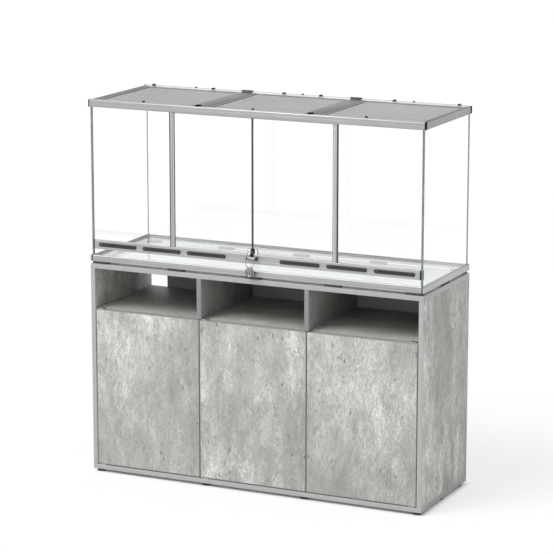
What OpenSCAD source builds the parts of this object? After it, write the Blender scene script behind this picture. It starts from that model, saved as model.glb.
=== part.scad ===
// Glass terrarium on a matching three-door cabinet.
// Millimetres, +Z up, front towards -Y, origin on the floor under the middle of the whole box.

/* [Overall] */
// Width of the cabinet and the tank
width = 1200; // [900:10:1500]
// Depth of the cabinet and the tank
depth = 400; // [350:10:600]
// Height of the cabinet boards, without the feet
cabinet_h = 712; // [600:1:900]
// Height from the cabinet top to the top of the tank rails
tank_h = 553; // [450:1:700]

/* [Cabinet boards] */
// Thickness of every coated board
board = 16; // [12:1:19]
// Thickness of the back board
back_t = 8; // [4:1:10]
// Clear height of the open niches
niche_h = 136; // [100:1:180]
// Gap round the doors
door_gap = 2.5; // [2:0.1:3]
// Gap between door and bottom board
door_lift = 3; // [3:0.5:5]
// How far the doors stay below the niche floor
door_drop = 3; // [1:0.5:5]
// Free depth behind the doors
door_clear = 5; // [4.5:0.5:8]
// Cable outlet in the outer corner of the left niche: width
outlet_w = 66; // [40:1:120]
// Cable outlet: height above the niche floor
outlet_h = 80; // [44:1:95]

/* [Feet] */
// Foot height
foot_h = 10; // [8:1:25]
// Foot diameter
foot_d = 30; // [24:1:40]
// Front and side feet: from the outside to the foot's axis
foot_in = 20; // [20:1:40]
// Rear feet: from the back to the foot's axis
foot_rear_in = 38; // [20:1:80]
// Inner feet: distance either side of the middle
foot_mid_x = 180; // [120:1:260]

/* [Cabinet door pivots] */
// Pin diameter
pin_d = 4; // [3:0.5:5]
// Radial play of pins and plungers
play = 0.05; // [0.02:0.01:0.1]
// Pin axis from the door's edge
pin_in = 9; // [8:0.5:10]
// Pin axis from the door's face
pin_back = 7; // [6:0.5:8]
// Depth of the pin in the door
pin_reach = 10; // [8:1:14]
// Thickness of the pivot plates
plate_t = 2; // [1.5:0.5:2]
// Width of the pivot plates
plate_w = 20; // [18:1:26]
// Thickness of the upper plates' upright leg
leg_t = 1.2; // [0.8:0.1:1.2]
// Height of the upper plates' upright leg
leg_h = 15; // [10:1:15]

/* [Push latches] */
// Housing width
housing_w = 14; // [13:1:20]
// Housing length
housing_l = 60; // [45:1:90]
// Housing height
housing_h = 16; // [14:1:24]
// Plunger diameter
plunger_d = 8; // [6:0.5:9]
// Plunger length
plunger_l = 30; // [24:1:34]
// How far the plunger travels when the door is pressed
plunger_travel = 2.5; // [1:0.5:4]
// From the door's free edge to the plunger's axis
plunger_in = 45; // [30:1:80]

/* [Tank frame] */
// Height of the pads between cabinet and tank
pad_h = 9; // [5:1:15]
// Length of the pads
pad_l = 56; // [40:1:70]
// Depth of the pads
pad_w = 20; // [14:1:20]
// Height of the base rails
base_h = 21; // [18:1:30]
// Depth of the base rails
base_d = 24; // [22:1:30]
// Wall of the rails that hides the glass edge
lip_t = 4; // [3:0.5:4.5]
// Height of the base rail's glass seat
seat_h = 9; // [7:1:12]
// Thickness of the base rail's web and inner leg
web_t = 3; // [2:0.5:4]
// Visible height of the low front pane
sill_h = 21; // [15:1:60]
// Height of the vent strip
strip_h = 30; // [28:1:40]
// Depth of the vent strip
strip_d = 14; // [12:0.5:16]
// Thickness of the black end caps
cap_t = 4; // [3:0.5:4.5]
// Bevel on top of the base rails
bevel = 2.5; // [1:0.5:3]
// Radius of the vent strip's and the posts' front edges
soft_edge = 2; // [1:0.5:3]
// Height of the top rails
top_h = 25; // [22:1:32]
// Depth of the top rails
top_d = 12; // [11:0.5:14]
// Ledge that the lids lie on: width
ledge_w = 12; // [8:1:16]
// Ledge that the lids lie on: thickness
ledge_t = 3; // [2:0.5:4]
// Ledge that the lids lie on: its top above the rails' underside
ledge_up = 14; // [12.5:0.5:15]
// Radius of the top rails' outer edge
rail_r = 5; // [3:0.5:6]
// Depth of the side bars on top
side_bar_d = 16; // [14:1:20]
// How far the side bars stay below the top of the rails
side_bar_drop = 2; // [0:0.5:4]
// Width of the cross bars on top
cross_w = 50; // [30:1:60]
// Width of the rib under a cross bar
rib_w = 12; // [8:1:20]

/* [Glass] */
// Thickness of the tank panes
glass_t = 6; // [5:0.5:7]
// Thickness of the doors and the front panes
door_glass_t = 5; // [4:0.5:6]
// Gap from a rail's wall to the pane
glue = 1; // [0.5:0.1:1.2]

/* [Front posts and glass doors] */
// Middle of the posts, either side of the middle
post_x = 293.75; // [240:0.25:330]
// Post width
post_w = 7.5; // [7:0.5:24]
// Seal between post and fixed pane
gasket_t = 3.5; // [2:0.5:4]
// Radius of the door's hinge edge
stile_r = 3.4; // [3.2:0.1:3.6]
// Gap between hinge edge and post
stile_gap = 0.3; // [0.3:0.1:1]
// Diameter of the glass doors' pins
glass_pin_d = 4; // [3:0.5:4]
// Length of the glass doors' pins in the rails
glass_pin_l = 6; // [4:0.5:6]
// Gap under and over the glass doors
glass_gap = 1.5; // [1:0.1:2]
// Width of the seal on the left door's free edge
seal_w = 4.7; // [3.5:0.1:6]
// Notch for the latch: half width
notch_x = 17; // [17:0.5:22]
// Notch for the latch: height
notch_z = 18; // [18:0.5:24]

/* [Vents] */
// Height of a vent
vent_h = 12; // [11:0.5:13]
// From the middle of the tank to the first vent
vent_inner = 98; // [60:1:120]
// From the last vent to the end of the vent strip
vent_end = 17; // [12:1:30]
// Distance between two vents
vent_gap = 25; // [16:1:40]
// Rim of the grille round its vent
vent_rim = 0.8; // [0.5:0.1:1.2]
// Window width, and the slide of the shutter that opens them
window_w = 6; // [4:0.5:6]
// Window height
window_h = 5; // [4:0.5:6]
// Thickness of a shutter
shutter_t = 3; // [2:0.5:3]
// Knob diameter
vent_knob_d = 12; // [9:0.5:12]
// Knob thickness
vent_knob_t = 2.5; // [2:0.5:3]

/* [Latch] */
// How far the latch stands out from the front
latch_proud = 24; // [24:1:30]
// Lever: half width
lever_x = 16; // [14:0.5:17]
// Lever: height
lever_h = 29; // [26:0.5:32]
// Lever: thickness
lever_t = 8; // [6:0.5:8]
// Radius of the barrel on the vent strip
barrel_r = 5.5; // [4:0.5:6]
// Wire diameter of the bail
wire_d = 2; // [1.5:0.1:2.2]
// Half width of the bail
bail_x = 15.5; // [14:0.5:16]
// Radius of the bail's sides
bail_side_r = 45; // [40:1:60]
// Radius of the bail's top
bail_top_r = 8; // [6:0.5:9]
// Lean of the bail towards the glass
bail_lean = 12; // [8:1:13]

/* [Lids] */
// Lid thickness
lid_t = 7; // [5:0.5:8]
// Gap round a lid
lid_gap = 1.5; // [1:0.1:2.5]
// Width of a lid's rim
lid_rim = 9; // [7:1:14]
// Thickness of the mesh sheet
mesh_t = 1.2; // [1:0.1:2]
// Finger knob diameter
knob_d = 9; // [8:0.5:14]
// How far the middle lid's knob lies to the left of its lid's middle
knob_off_mid = 7; // [0:0.5:20]
// How far the right lid's knob lies to the left of its lid's middle
knob_off_right = 15; // [0:0.5:20]
// Finger knob height
knob_h = 7; // [5:0.5:12]
// Rail buttons: diameter
button_d = 7; // [5:0.5:7]
// Rail buttons: height
button_h = 4; // [3:0.5:5]
// Hinge pin diameter
hinge_pin_d = 2.6; // [2.2:0.1:2.8]
// Width of a lid's hinge lugs
hinge_lug = 3; // [2.5:0.5:5]
// Width of a hinge block
hinge_w = 6; // [5:0.5:12]
// Hinge at the tank's end: from the lid's edge to its middle
hinge_end = 22; // [14:1:60]
// Hinge near a cross bar: from the lid's edge to its middle
hinge_cross = 106; // [30:1:110]

/* [Hidden] */
$fn = 48;

y_front = -(depth - latch_proud) / 2;
y_back = y_front + depth;
y_mid = (y_front + y_back) / 2;
x_end = width / 2;

// Heights in the cabinet
z_cab = foot_h;
z_floor = z_cab + board;
z_cab_top = z_cab + cabinet_h;
z_roof = z_cab_top - board;
z_niche = z_roof - niche_h;
z_door = z_floor + door_lift;
z_door_top = z_niche - door_drop;
y_shelf = y_front + board + door_clear;
y_back_board = y_back - back_t;

// Doors: three equal leaves
inner_w = width - 2 * board;
door_w = (inner_w - 4 * door_gap) / 3;
door_pitch = door_w + door_gap;
door_edge_r = 1;
divider_x = inner_w / 6;
// Side on which each door hangs: -1 left, 1 right
hang = [-1, -1, 1];
plunger_z = z_niche - board - housing_h / 2;
plunger_gap = 0.5;
pin_wall = 0.3;

// Heights in the tank
z_base = z_cab_top + pad_h;
z_seat = z_base + seat_h;
z_base_top = z_base + base_h;
z_strip = z_base_top + sill_h;
z_sill = z_strip + strip_h;
z_top = z_cab_top + tank_h;
z_rail = z_top - top_h;
z_ledge = z_rail + ledge_up;
z_lid = z_ledge + lid_t;

// Glass planes, measured from the outside of the tank
glass_in = lip_t + glue;
glass_back = glass_in + glass_t;
front_glass_back = glass_in + door_glass_t;
glass_mid = glass_in + door_glass_t / 2;
pane_gap = 0.3;
pane_x = x_end - glass_back - pane_gap;
strip_in = 3;
strip_x = x_end - glass_back - cap_t;
strip_back = y_front + strip_in + strip_d;
seal_slot = 4;
rail_x = x_end - cap_t;
corner_gap = 0.5;

// Glass doors
post_in = post_x - post_w / 2;
post_out = post_x + post_w / 2;
pivot_x = post_in - stile_gap - stile_r;
stile_w = 3.3;
bite = 1.5;
seal_x = 1.2;
leaf_gap = 0.5;
lap = 1;
z_leaf = z_sill + glass_gap;
z_leaf_top = z_rail - glass_gap;
z_notch = z_sill + notch_z + 1;

// Vents
vent_z = z_strip + strip_h / 2;
vent_l = (strip_x - vent_inner - vent_end - 2 * vent_gap) / 3;
vent_pitch = vent_l + vent_gap;
vent_sides = [-1, 1];
vent_x = [for (s = vent_sides, i = [0 : 2]) s * (vent_inner + vent_l / 2 + i * vent_pitch)];
fit = 0.2;
vent_wall = 1.5;
plug_gap = 0.05;
window_pitch = 2 * window_w;
window_margin = 32;
windows = floor((vent_l - window_margin) / window_pitch);
window_x = -vent_l / 2 + vent_h + 4;
knob_x = vent_l / 2 - vent_h / 2 - 2;
stem_d = 4.4;
shutter_in = 4;
shutter_x0 = window_x - 4;
shutter_x1 = knob_x + 1;

// Latch
latch_pin_d = 3;
latch_pin_z = z_base + 7;
latch_pin_y = y_front - 10;
ear_x = 11;
ear_t = 3;
lug_x = ear_x - 0.5;
boss_x = 8;
lever_y = y_front - latch_proud + 1;
lever_z = latch_pin_z - 3.5 + lever_h / 2;
rib_proud = 1;
bail_z = z_base + 35;
bail_y = y_front - latch_proud + 4;
bail_pin_x = 3;
// Bail: middle of the side arcs and of the top arc, over the bail's pivot
bail_wide_z = 22;
bail_side_c = bail_x - bail_side_r;
bail_top_z = bail_wide_z + sqrt(pow(bail_side_r - bail_top_r, 2) - pow(bail_side_c, 2));
bail_low = asin(bail_wide_z / bail_side_r);
bail_high = atan2(bail_top_z - bail_wide_z, -bail_side_c);
bail_foot_x = bail_side_c + bail_side_r * cos(bail_low);
catch_x = notch_x - 0.6;
catch_t = 2;

// Lids
cross_x = width / 6;
lid_side = x_end - side_bar_d - lid_gap;
lid_cross = cross_x + cross_w / 2 + lid_gap;
lid_mid_x = cross_x - cross_w / 2 - lid_gap;
lid_y0 = y_front + top_d + lid_gap / 2;
lid_y1 = y_back - top_d - lid_gap / 2;
cross_t = lid_t + 1;
pad_x = 13;
pad_y = 20;
hinge_r = 2.2;
hinge_z = z_top + hinge_r + 0.2;
hinge_gap = 0.3;
end_gap = 0.5;

// ---------- helpers ----------

// A box from its lowest to its highest corner
module block(lo, hi) {
    translate(lo) cube(hi - lo);
}

// On the right as drawn, or mirrored to the left
module on_side(side) {
    mirror([side < 0 ? 1 : 0, 0, 0]) children();
}

module both_sides() {
    for (side = [-1, 1]) on_side(side) children();
}

// An outline of (distance in from the outside, height) run along one side of the tank.
// turn 0 is the front, 90 the right end, 180 the rear and 270 the left end. from and to
// are measured along that side from its middle.
module run(from, to, turn = 0) {
    reach = turn % 180 == 0 ? depth / 2 : x_end;
    translate([0, y_mid, 0]) rotate([0, 0, turn]) translate([from, -reach, 0])
        rotate([90, 0, 90]) linear_extrude(height = to - from) children();
}

// A stadium lying along X, from y0 to y1
module stadium(len, high, y0, y1) {
    straight = (len - high) / 2;
    translate([0, y1, 0]) rotate([90, 0, 0]) linear_extrude(height = y1 - y0) {
        square([2 * straight, high], center = true);
        for (s = [-1, 1]) translate([s * straight, 0]) circle(d = high);
    }
}

// A round bar along X, through its middle
module bar_x(r, half) {
    rotate([0, 90, 0]) cylinder(r = r, h = 2 * half, center = true);
}

// ---------- cabinet ----------

// One foot: a glide with a chamfered sole and a narrower neck
module foot() {
    r = foot_d / 2;
    sole = 2;
    neck = 3;
    rotate_extrude() polygon([
        [0, 0], [r - sole, 0], [r, sole], [r, foot_h - neck], [r - neck, foot_h - sole],
        [r - neck, foot_h], [0, foot_h]
    ]);
}

module feet() {
    end_x = x_end - foot_in;
    color("#17181a")
        for (x = [-end_x, -foot_mid_x, foot_mid_x, end_x])
            for (y = [y_front + foot_in, y_mid, y_back - foot_rear_in])
                translate([x, y, 0]) foot();
}

module bottom_panel() {
    color("#bdbdb9") block([-x_end, y_front, z_cab], [x_end, y_back, z_floor]);
}

module top_panel() {
    color("#bdbdb9") block([-x_end, y_front, z_roof], [x_end, y_back, z_cab_top]);
}

module side_panel(side) {
    color("#a9aba5") on_side(side)
        block([inner_w / 2, y_front, z_floor], [x_end, y_back, z_roof]);
}

// A divider stands back behind the doors and comes forward between the niches
module dividers() {
    x0 = divider_x - board / 2;
    x1 = divider_x + board / 2;
    color("#8f918c") both_sides() union() {
        block([x0, y_shelf, z_floor], [x1, y_back_board, z_roof]);
        block([x0, y_front, z_niche], [x1, y_back_board, z_roof]);
    }
}

module niche_shelves() {
    z0 = z_niche - board;
    color("#7f817d") {
        block([-divider_x + board / 2, y_shelf, z0], [divider_x - board / 2, y_back_board, z_niche]);
        both_sides()
            block([divider_x + board / 2, y_shelf, z0], [inner_w / 2, y_back_board, z_niche]);
    }
}

module back_panel() {
    color("#4c4e4d") difference() {
        block([-inner_w / 2, y_back_board, z_floor], [inner_w / 2, y_back, z_roof]);
        block([-inner_w / 2 - 1, y_back_board - 1, z_niche],
              [-inner_w / 2 + outlet_w, y_back + 1, z_niche + outlet_h]);
    }
}

// Left edge of door number i, the axis it turns on, and where its push latch is
function door_x(i) = -inner_w / 2 + door_gap + i * door_pitch;
function door_axis(i) = hang[i] < 0 ? door_x(i) + pin_in : door_x(i) + door_w - pin_in;
function door_latch(i) =
    hang[i] < 0 ? door_x(i) + door_w - plunger_in : door_x(i) + plunger_in;

// A leaf with rounded upright edges and a blind bore for the pin at the top and the bottom
module door(i) {
    bore = pin_reach + 1;
    color("#c3c4c0") translate([door_x(i), y_front, 0]) difference() {
        translate([0, 0, z_door]) linear_extrude(height = z_door_top - z_door) {
            translate([door_edge_r, 0]) square([door_w - 2 * door_edge_r, board]);
            translate([0, door_edge_r]) square([door_w, board - 2 * door_edge_r]);
            for (x = [door_edge_r, door_w - door_edge_r])
                for (y = [door_edge_r, board - door_edge_r])
                    translate([x, y]) circle(r = door_edge_r);
        }
        translate([door_axis(i) - door_x(i), pin_back, 0]) {
            translate([0, 0, z_door - 1]) cylinder(d = pin_d + 2 * play, h = bore + 1);
            translate([0, 0, z_door_top - bore]) cylinder(d = pin_d + 2 * play, h = bore + 1);
        }
    }
}

// The pivots of one door: a plate on the bottom board with its pin up, and an angle on the
// front edge of the shelf with its pin down
module pivot_pair(i) {
    y0 = y_front + 2;
    reach = pin_d / 2 + pin_wall;
    translate([door_axis(i), 0, 0]) on_side(-hang[i]) {
        block([-reach, y0, z_floor], [plate_w - reach, y_shelf - 1, z_floor + plate_t]);
        block([-reach, y0, z_niche - plate_t], [plate_w - reach, y_shelf, z_niche]);
        block([-reach, y_shelf - leg_t, z_niche - leg_h], [plate_w - reach, y_shelf, z_niche]);
        translate([0, y_front + pin_back, z_floor + plate_t / 2])
            cylinder(d = pin_d, h = z_door - z_floor - plate_t / 2 + pin_reach);
        translate([0, y_front + pin_back, z_door_top - pin_reach])
            cylinder(d = pin_d, h = pin_reach + door_drop - plate_t / 2);
    }
}

module pivot_plates() {
    color("#b9bcc0") for (i = [0 : 2]) pivot_pair(i);
}

module push_latch_housings() {
    y0 = y_shelf + 1;
    x1 = housing_w / 2;
    top = z_niche - board;
    color("#d9d9d6") for (i = [0 : 2]) translate([door_latch(i), 0, 0]) difference() {
        block([-x1, y0, top - housing_h], [x1, y0 + housing_l, top]);
        translate([0, y0 - 1, plunger_z]) rotate([-90, 0, 0])
            cylinder(d = plunger_d + 2 * play, h = plunger_l + plunger_travel);
    }
}

module plunger(i) {
    r = plunger_d / 2;
    color("#e4e4e1") translate([door_latch(i), y_front + board + plunger_gap, plunger_z])
        rotate([-90, 0, 0]) rotate_extrude() polygon([
            [0, 0], [r - 1, 0], [r, 1], [r, plunger_l], [0, plunger_l]
        ]);
}

// ---------- tank base ----------

module support_pads() {
    inset = 3;
    end_x = x_end - inset - 4 - pad_l / 2;
    row_y = depth / 2 - inset - pad_w / 2;
    h = pad_h;
    color("#232426") translate([0, y_mid, z_cab_top + h / 2]) {
        for (x = [-end_x, -end_x / 2, 0, end_x / 2, end_x])
            for (y = [-row_y, row_y])
                translate([x, y, 0]) cube([pad_l, pad_w, h], center = true);
        both_sides()
            translate([x_end - inset - pad_w / 2, 0, 0]) cube([pad_w, pad_l, h], center = true);
    }
}

// Outline of the wall that hides the glass edge, bevelled on top
module lip_outline() {
    polygon([[0, 0], [lip_t, 0], [lip_t, base_h], [bevel, base_h], [0, base_h - bevel]]);
}

// Outline of the glass seat behind the wall: a web and an inner leg
module seat_outline() {
    leg = base_d - web_t;
    polygon([
        [lip_t - 1, seat_h - web_t], [leg, seat_h - web_t], [leg, 0], [base_d, 0],
        [base_d, seat_h], [lip_t - 1, seat_h]
    ]);
}

module base_cross_rail(turn) {
    lip_x = x_end - lip_t - cap_t;
    seat_x = x_end - base_d - corner_gap;
    color("#b4b5b6") translate([0, 0, z_base]) union() {
        run(-lip_x, lip_x, turn) lip_outline();
        run(-seat_x, seat_x, turn) seat_outline();
    }
}

module base_side_rails() {
    lip_y = depth / 2;
    seat_y = depth / 2 - lip_t - corner_gap;
    color("#b4b5b6") for (turn = [90, 270]) translate([0, 0, z_base]) union() {
        run(-lip_y, lip_y, turn) lip_outline();
        run(-seat_y, seat_y, turn) seat_outline();
    }
}

// Black pieces in the base corners and at the ends of the vent strip
module corner_caps() {
    x1 = x_end - lip_t;
    color("#1d1e20") {
        for (turn = [0, 180]) translate([0, 0, z_base]) {
            run(x1 - cap_t, x1, turn) lip_outline();
            run(-x1, -x1 + cap_t, turn) lip_outline();
        }
        both_sides() translate([0, 0, z_strip]) run(strip_x, strip_x + cap_t) strip_outline();
    }
}

// ---------- glass ----------

module pane_colour() {
    color([0.75, 0.9, 0.86, 0.4]) children();
}

module glass_bottom() {
    inset = glass_back + glue;
    pane_colour()
        block([-x_end + inset, y_front + inset, z_seat],
              [x_end - inset, y_back - inset, z_seat + glass_t]);
}

module glass_end(side) {
    pane_colour() on_side(side)
        block([x_end - glass_back, y_front + glass_in, z_seat],
              [x_end - glass_in, y_back - glass_in, z_rail]);
}

module glass_back_pane() {
    pane_colour()
        block([-pane_x, y_back - glass_back, z_seat], [pane_x, y_back - glass_in, z_rail]);
}

// The low front pane ends in the groove under the vent strip
module glass_sill() {
    pane_colour()
        block([-pane_x, y_front + glass_in, z_seat],
              [pane_x, y_front + glass_back, z_strip + seal_slot - corner_gap]);
}

module glass_fixed(side) {
    pane_colour() on_side(side)
        block([post_out + gasket_t, y_front + glass_in, z_sill],
              [pane_x, y_front + front_glass_back, z_rail]);
}

// ---------- vent strip ----------

module strip_outline() {
    r = soft_edge;
    difference() {
        translate([strip_in, 0]) {
            square([strip_d, strip_h - r]);
            translate([r, 0]) square([strip_d - r, strip_h]);
            translate([r, strip_h - r]) circle(r = r);
        }
        translate([glass_in - pane_gap, -1]) square([glass_t + 2 * pane_gap, seal_slot + 1]);
    }
}

module vent_strip() {
    bore = glass_pin_l + 1;
    color("#b9babb") difference() {
        translate([0, 0, z_strip]) run(-strip_x, strip_x) strip_outline();
        for (x = vent_x) translate([x, 0, vent_z])
            stadium(vent_l, vent_h, y_front, strip_back + 1);
        for (s = [-1, 1]) translate([s * pivot_x, y_front + glass_mid, z_sill - bore])
            cylinder(d = glass_pin_d + 2 * play, h = bore + 1);
    }
}

// The windows of a grille or a shutter, from y0 to y1
module window_row(y0, y1) {
    for (i = [0 : windows - 1]) translate([window_x + i * window_pitch, 0, 0])
        block([0, y0, -window_h / 2], [window_w, y1, window_h / 2]);
}

// A grille: a plug with a rim, windows through it, and a hollow in which its shutter slides
module vent_grille() {
    y0 = y_front + strip_in;
    y1 = y0 + shutter_in;
    hollow_l = vent_l - 2 * vent_wall;
    hollow_h = vent_h - 2 * vent_wall;
    difference() {
        union() {
            stadium(vent_l - 2 * plug_gap, vent_h - 2 * plug_gap, y0 - vent_rim, strip_back);
            stadium(vent_l + 2 * vent_rim, vent_h + 2 * vent_rim, y0 - vent_rim, y0);
        }
        stadium(hollow_l, hollow_h, y1 - fit, y1 + shutter_t + fit);
        window_row(y0 - 2, strip_back + 1);
        translate([knob_x - window_w / 2, 0, 0])
            stadium(stem_d + window_w + 2 * fit, stem_d + 2 * fit, y0 - 2, y1);
    }
}

module vent_grilles() {
    color("#3a3b3e") for (x = vent_x) translate([x, 0, vent_z]) vent_grille();
}

// A shutter: a slotted plate in the hollow, and a knob on a stem through the grille. It is
// shut as drawn, its windows behind the grille's bars, and opens by one window to the left.
module vent_shutter(i) {
    y1 = y_front + strip_in + shutter_in;
    high = vent_h / 2 - vent_wall - fit;
    stem = shutter_in + vent_rim + fit;
    r = vent_knob_d / 2;
    color("#2a2b2e") translate([vent_x[i], 0, vent_z]) union() {
        difference() {
            block([shutter_x0, y1, -high], [shutter_x1, y1 + shutter_t, high]);
            translate([window_w, 0, 0]) window_row(y1 - 1, y1 + shutter_t + 1);
        }
        translate([knob_x, y1 + 1, 0]) rotate([90, 0, 0]) {
            cylinder(d = stem_d, h = stem + 2);
            translate([0, 0, stem + 1]) rotate_extrude() polygon([
                [0, 0], [r, 0], [r, vent_knob_t - 1], [r - 1, vent_knob_t], [0, vent_knob_t]
            ]);
        }
    }
}

// ---------- posts and glass doors ----------

module posts() {
    r = soft_edge;
    color("#c2c3c4") both_sides() translate([post_in, y_front + strip_in, z_sill])
        linear_extrude(height = z_rail - z_sill) {
            translate([0, r]) square([post_w, strip_d - r]);
            translate([r, 0]) square([post_w - 2 * r, strip_d]);
            for (x = [r, post_w - r]) translate([x, r]) circle(r = r);
        }
}

module post_gaskets() {
    color("#2b2c2e") both_sides()
        block([post_out, y_front + glass_in - lap, z_sill],
              [post_out + gasket_t, y_front + front_glass_back + lap, z_rail]);
}

module glass_door(side) {
    free_x = side < 0 ? bite : seal_x + leaf_gap;
    pane_colour() on_side(side) difference() {
        block([free_x, y_front + glass_in, z_leaf],
              [pivot_x - bite, y_front + front_glass_back, z_leaf_top]);
        block([-1, y_front, z_leaf - 1], [notch_x, strip_back, z_notch]);
    }
}

// Hinge edge of a glass door: a round back, a channel for the glass and a pin at each end
module door_stile(side) {
    color("#3d3f41") on_side(side) translate([pivot_x, y_front + glass_mid, 0]) union() {
        translate([0, 0, z_leaf]) linear_extrude(height = z_leaf_top - z_leaf) difference() {
            union() {
                circle(r = stile_r);
                translate([-stile_w, -stile_r]) square([stile_w, 2 * stile_r]);
            }
            translate([-stile_w - 1, -door_glass_t / 2])
                square([stile_w + 1 - bite, door_glass_t]);
        }
        for (z = [z_sill - glass_pin_l, z_leaf_top]) translate([0, 0, z])
            cylinder(d = glass_pin_d, h = glass_pin_l + glass_gap);
    }
}

// Seal on the free edge of the left door, closing the gap to the right one
module door_seal() {
    x0 = seal_x - seal_w;
    color("#2b2c2e") difference() {
        block([x0, y_front + glass_in - lap, z_notch],
              [seal_x, y_front + front_glass_back + lap, z_leaf_top]);
        block([x0 - 1, y_front + glass_in, z_notch - 1],
              [-bite, y_front + front_glass_back, z_leaf_top + 1]);
    }
}

// ---------- latch ----------

// Barrel and plate on the vent strip, with a stop between the doors' notches and a tongue
module latch_catch() {
    y0 = y_front + strip_in;
    z_stop = z_sill + notch_z;
    tongue = 4;
    color("#8c8e90") union() {
        block([-catch_x, y0 - catch_t, vent_z - 5], [catch_x, y0, z_sill + catch_t]);
        block([-catch_x, y0 - catch_t, z_sill],
              [catch_x, y_front + front_glass_back, z_sill + catch_t]);
        block([-catch_x, y_front + glass_in, z_sill],
              [catch_x, y_front + front_glass_back, z_stop]);
        block([-tongue, y_front - 5, z_stop - 2 * tongue],
              [tongue, y_front + glass_in + 1, z_stop - tongue]);
        translate([0, y0 - barrel_r, vent_z + 3]) bar_x(barrel_r, catch_x + 2);
    }
}

// Plate on the base rail with two ears that hold the lever's pin
module latch_base() {
    ear_y = latch_pin_y - 4;
    color("#c9cbcd") union() {
        block([-ear_x - ear_t, y_front - catch_t, latch_pin_z - 4],
              [ear_x + ear_t, y_front, z_base_top - bevel]);
        for (x = [-ear_x - ear_t, ear_x])
            block([x, ear_y, latch_pin_z - 3], [x + ear_t, y_front - 1, latch_pin_z + 5]);
        translate([0, latch_pin_y, latch_pin_z]) bar_x(latch_pin_d / 2, ear_x + 1);
    }
}

// Oval lever with ribs, a lug round its pin at the foot and a boss for the bail at the head
module latch_lever() {
    r = 3;
    back_y = lever_y + lever_t;
    color("#b2b5b8") difference() {
        union() {
            translate([0, back_y, lever_z]) rotate([90, 0, 0]) linear_extrude(height = lever_t)
                polygon([for (a = [0 : 7.5 : 359]) [lever_x * cos(a), lever_h / 2 * sin(a)]]);
            for (x = [-9, 0, 9]) translate([x, lever_y - rib_proud, lever_z - lever_h / 3])
                cube([r, rib_proud + 1, 2 * lever_h / 3]);
            block([-lug_x, back_y - 1, latch_pin_z - r], [lug_x, latch_pin_y, latch_pin_z + r]);
            translate([0, latch_pin_y, latch_pin_z]) bar_x(r, lug_x);
            block([-boss_x, bail_y - r, lever_z], [boss_x, bail_y + r, bail_z]);
            translate([0, bail_y, bail_z]) bar_x(r, boss_x);
        }
        translate([0, latch_pin_y, latch_pin_z]) bar_x(latch_pin_d / 2 + play, lever_x);
        translate([0, bail_y, bail_z]) bar_x(wire_d / 2 + play, lever_x);
    }
}

// A round wire on an arc of radius r in the XZ plane, from angle a0 to a1
module wire_arc(r, a0, a1) {
    rotate([90, 0, 0]) rotate([0, 0, a0]) rotate_extrude(angle = a1 - a0)
        translate([r, 0]) circle(d = wire_d, $fn = 24);
}

// Wire bail: two bowed sides, a round top and two feet that turn in to its pivot
module latch_bail() {
    foot_len = bail_foot_x - bail_pin_x;
    knuckle_d = wire_d + 0.4;
    color("#dcdee0") translate([0, bail_y, bail_z]) rotate([-bail_lean, 0, 0]) union() {
        translate([0, 0, bail_top_z]) wire_arc(bail_top_r, bail_high, 180 - bail_high);
        both_sides() {
            translate([bail_side_c, 0, bail_wide_z]) wire_arc(bail_side_r, -bail_low, bail_high);
            translate([bail_foot_x, 0, 0]) sphere(d = knuckle_d, $fn = 24);
            translate([bail_pin_x + foot_len / 2, 0, 0]) bar_x(wire_d / 2, foot_len / 2);
        }
    }
}

// ---------- top frame and lids ----------

module rail_outline() {
    square([top_d, top_h - rail_r]);
    translate([rail_r, 0]) square([top_d - rail_r, top_h]);
    translate([rail_r, top_h - rail_r]) circle(r = rail_r);
}

// A top rail with the ledge that the lids lie on
module top_rail(turn) {
    ledge_x = x_end - side_bar_d - end_gap;
    translate([0, 0, z_rail]) union() {
        run(-rail_x, rail_x, turn) rail_outline();
        run(-ledge_x, ledge_x, turn) translate([top_d - 1, ledge_up - ledge_t])
            square([ledge_w + 1, ledge_t]);
    }
}

module top_rail_front() {
    bore = glass_pin_l + 1;
    color("#b9babb") difference() {
        top_rail(0);
        for (s = [-1, 1]) translate([s * pivot_x, y_front + glass_mid, z_rail - 1])
            cylinder(d = glass_pin_d + 2 * play, h = bore + 1);
    }
}

module top_rail_rear() {
    color("#b9babb") top_rail(180);
}

module top_side_bars() {
    color("#8f9091") both_sides()
        block([x_end - side_bar_d, y_front + top_d, z_rail],
              [x_end, y_back - top_d, z_top - side_bar_drop]);
}

// A flat bar on the ledges with a rib between them
module cross_bars() {
    y0 = y_front + top_d;
    y1 = y_back - top_d;
    in = ledge_w + end_gap;
    color("#8f9091") both_sides() translate([cross_x, 0, 0]) union() {
        block([-cross_w / 2, y0, z_ledge], [cross_w / 2, y1, z_ledge + cross_t]);
        block([-rib_w / 2, y0 + in, z_rail], [rib_w / 2, y1 - in, z_ledge + 1]);
    }
}

module top_end_caps() {
    color("#1d1e20") for (turn = [0, 180]) translate([0, 0, z_rail]) {
        run(rail_x, x_end, turn) rail_outline();
        run(-x_end, -rail_x, turn) rail_outline();
    }
}

// The middles of a lid's two hinges, for lid -1, 0 or 1
function hinge_x(side) =
    side == 0 ? [-lid_mid_x + hinge_cross, lid_mid_x - hinge_cross]
    : [side * (lid_cross + hinge_cross), side * (lid_side - hinge_end)];

module lid_hinge_blocks() {
    half = hinge_w / 2;
    r = hinge_r;
    color("#1d1e20") for (side = [-1 : 1]) for (x = hinge_x(side))
        translate([x, lid_y1, hinge_z]) union() {
            bar_x(r, half);
            block([-half, 0, z_top - hinge_z], [half, top_d - 4, r]);
            bar_x(hinge_pin_d / 2, half + hinge_lug);
        }
}

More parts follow.
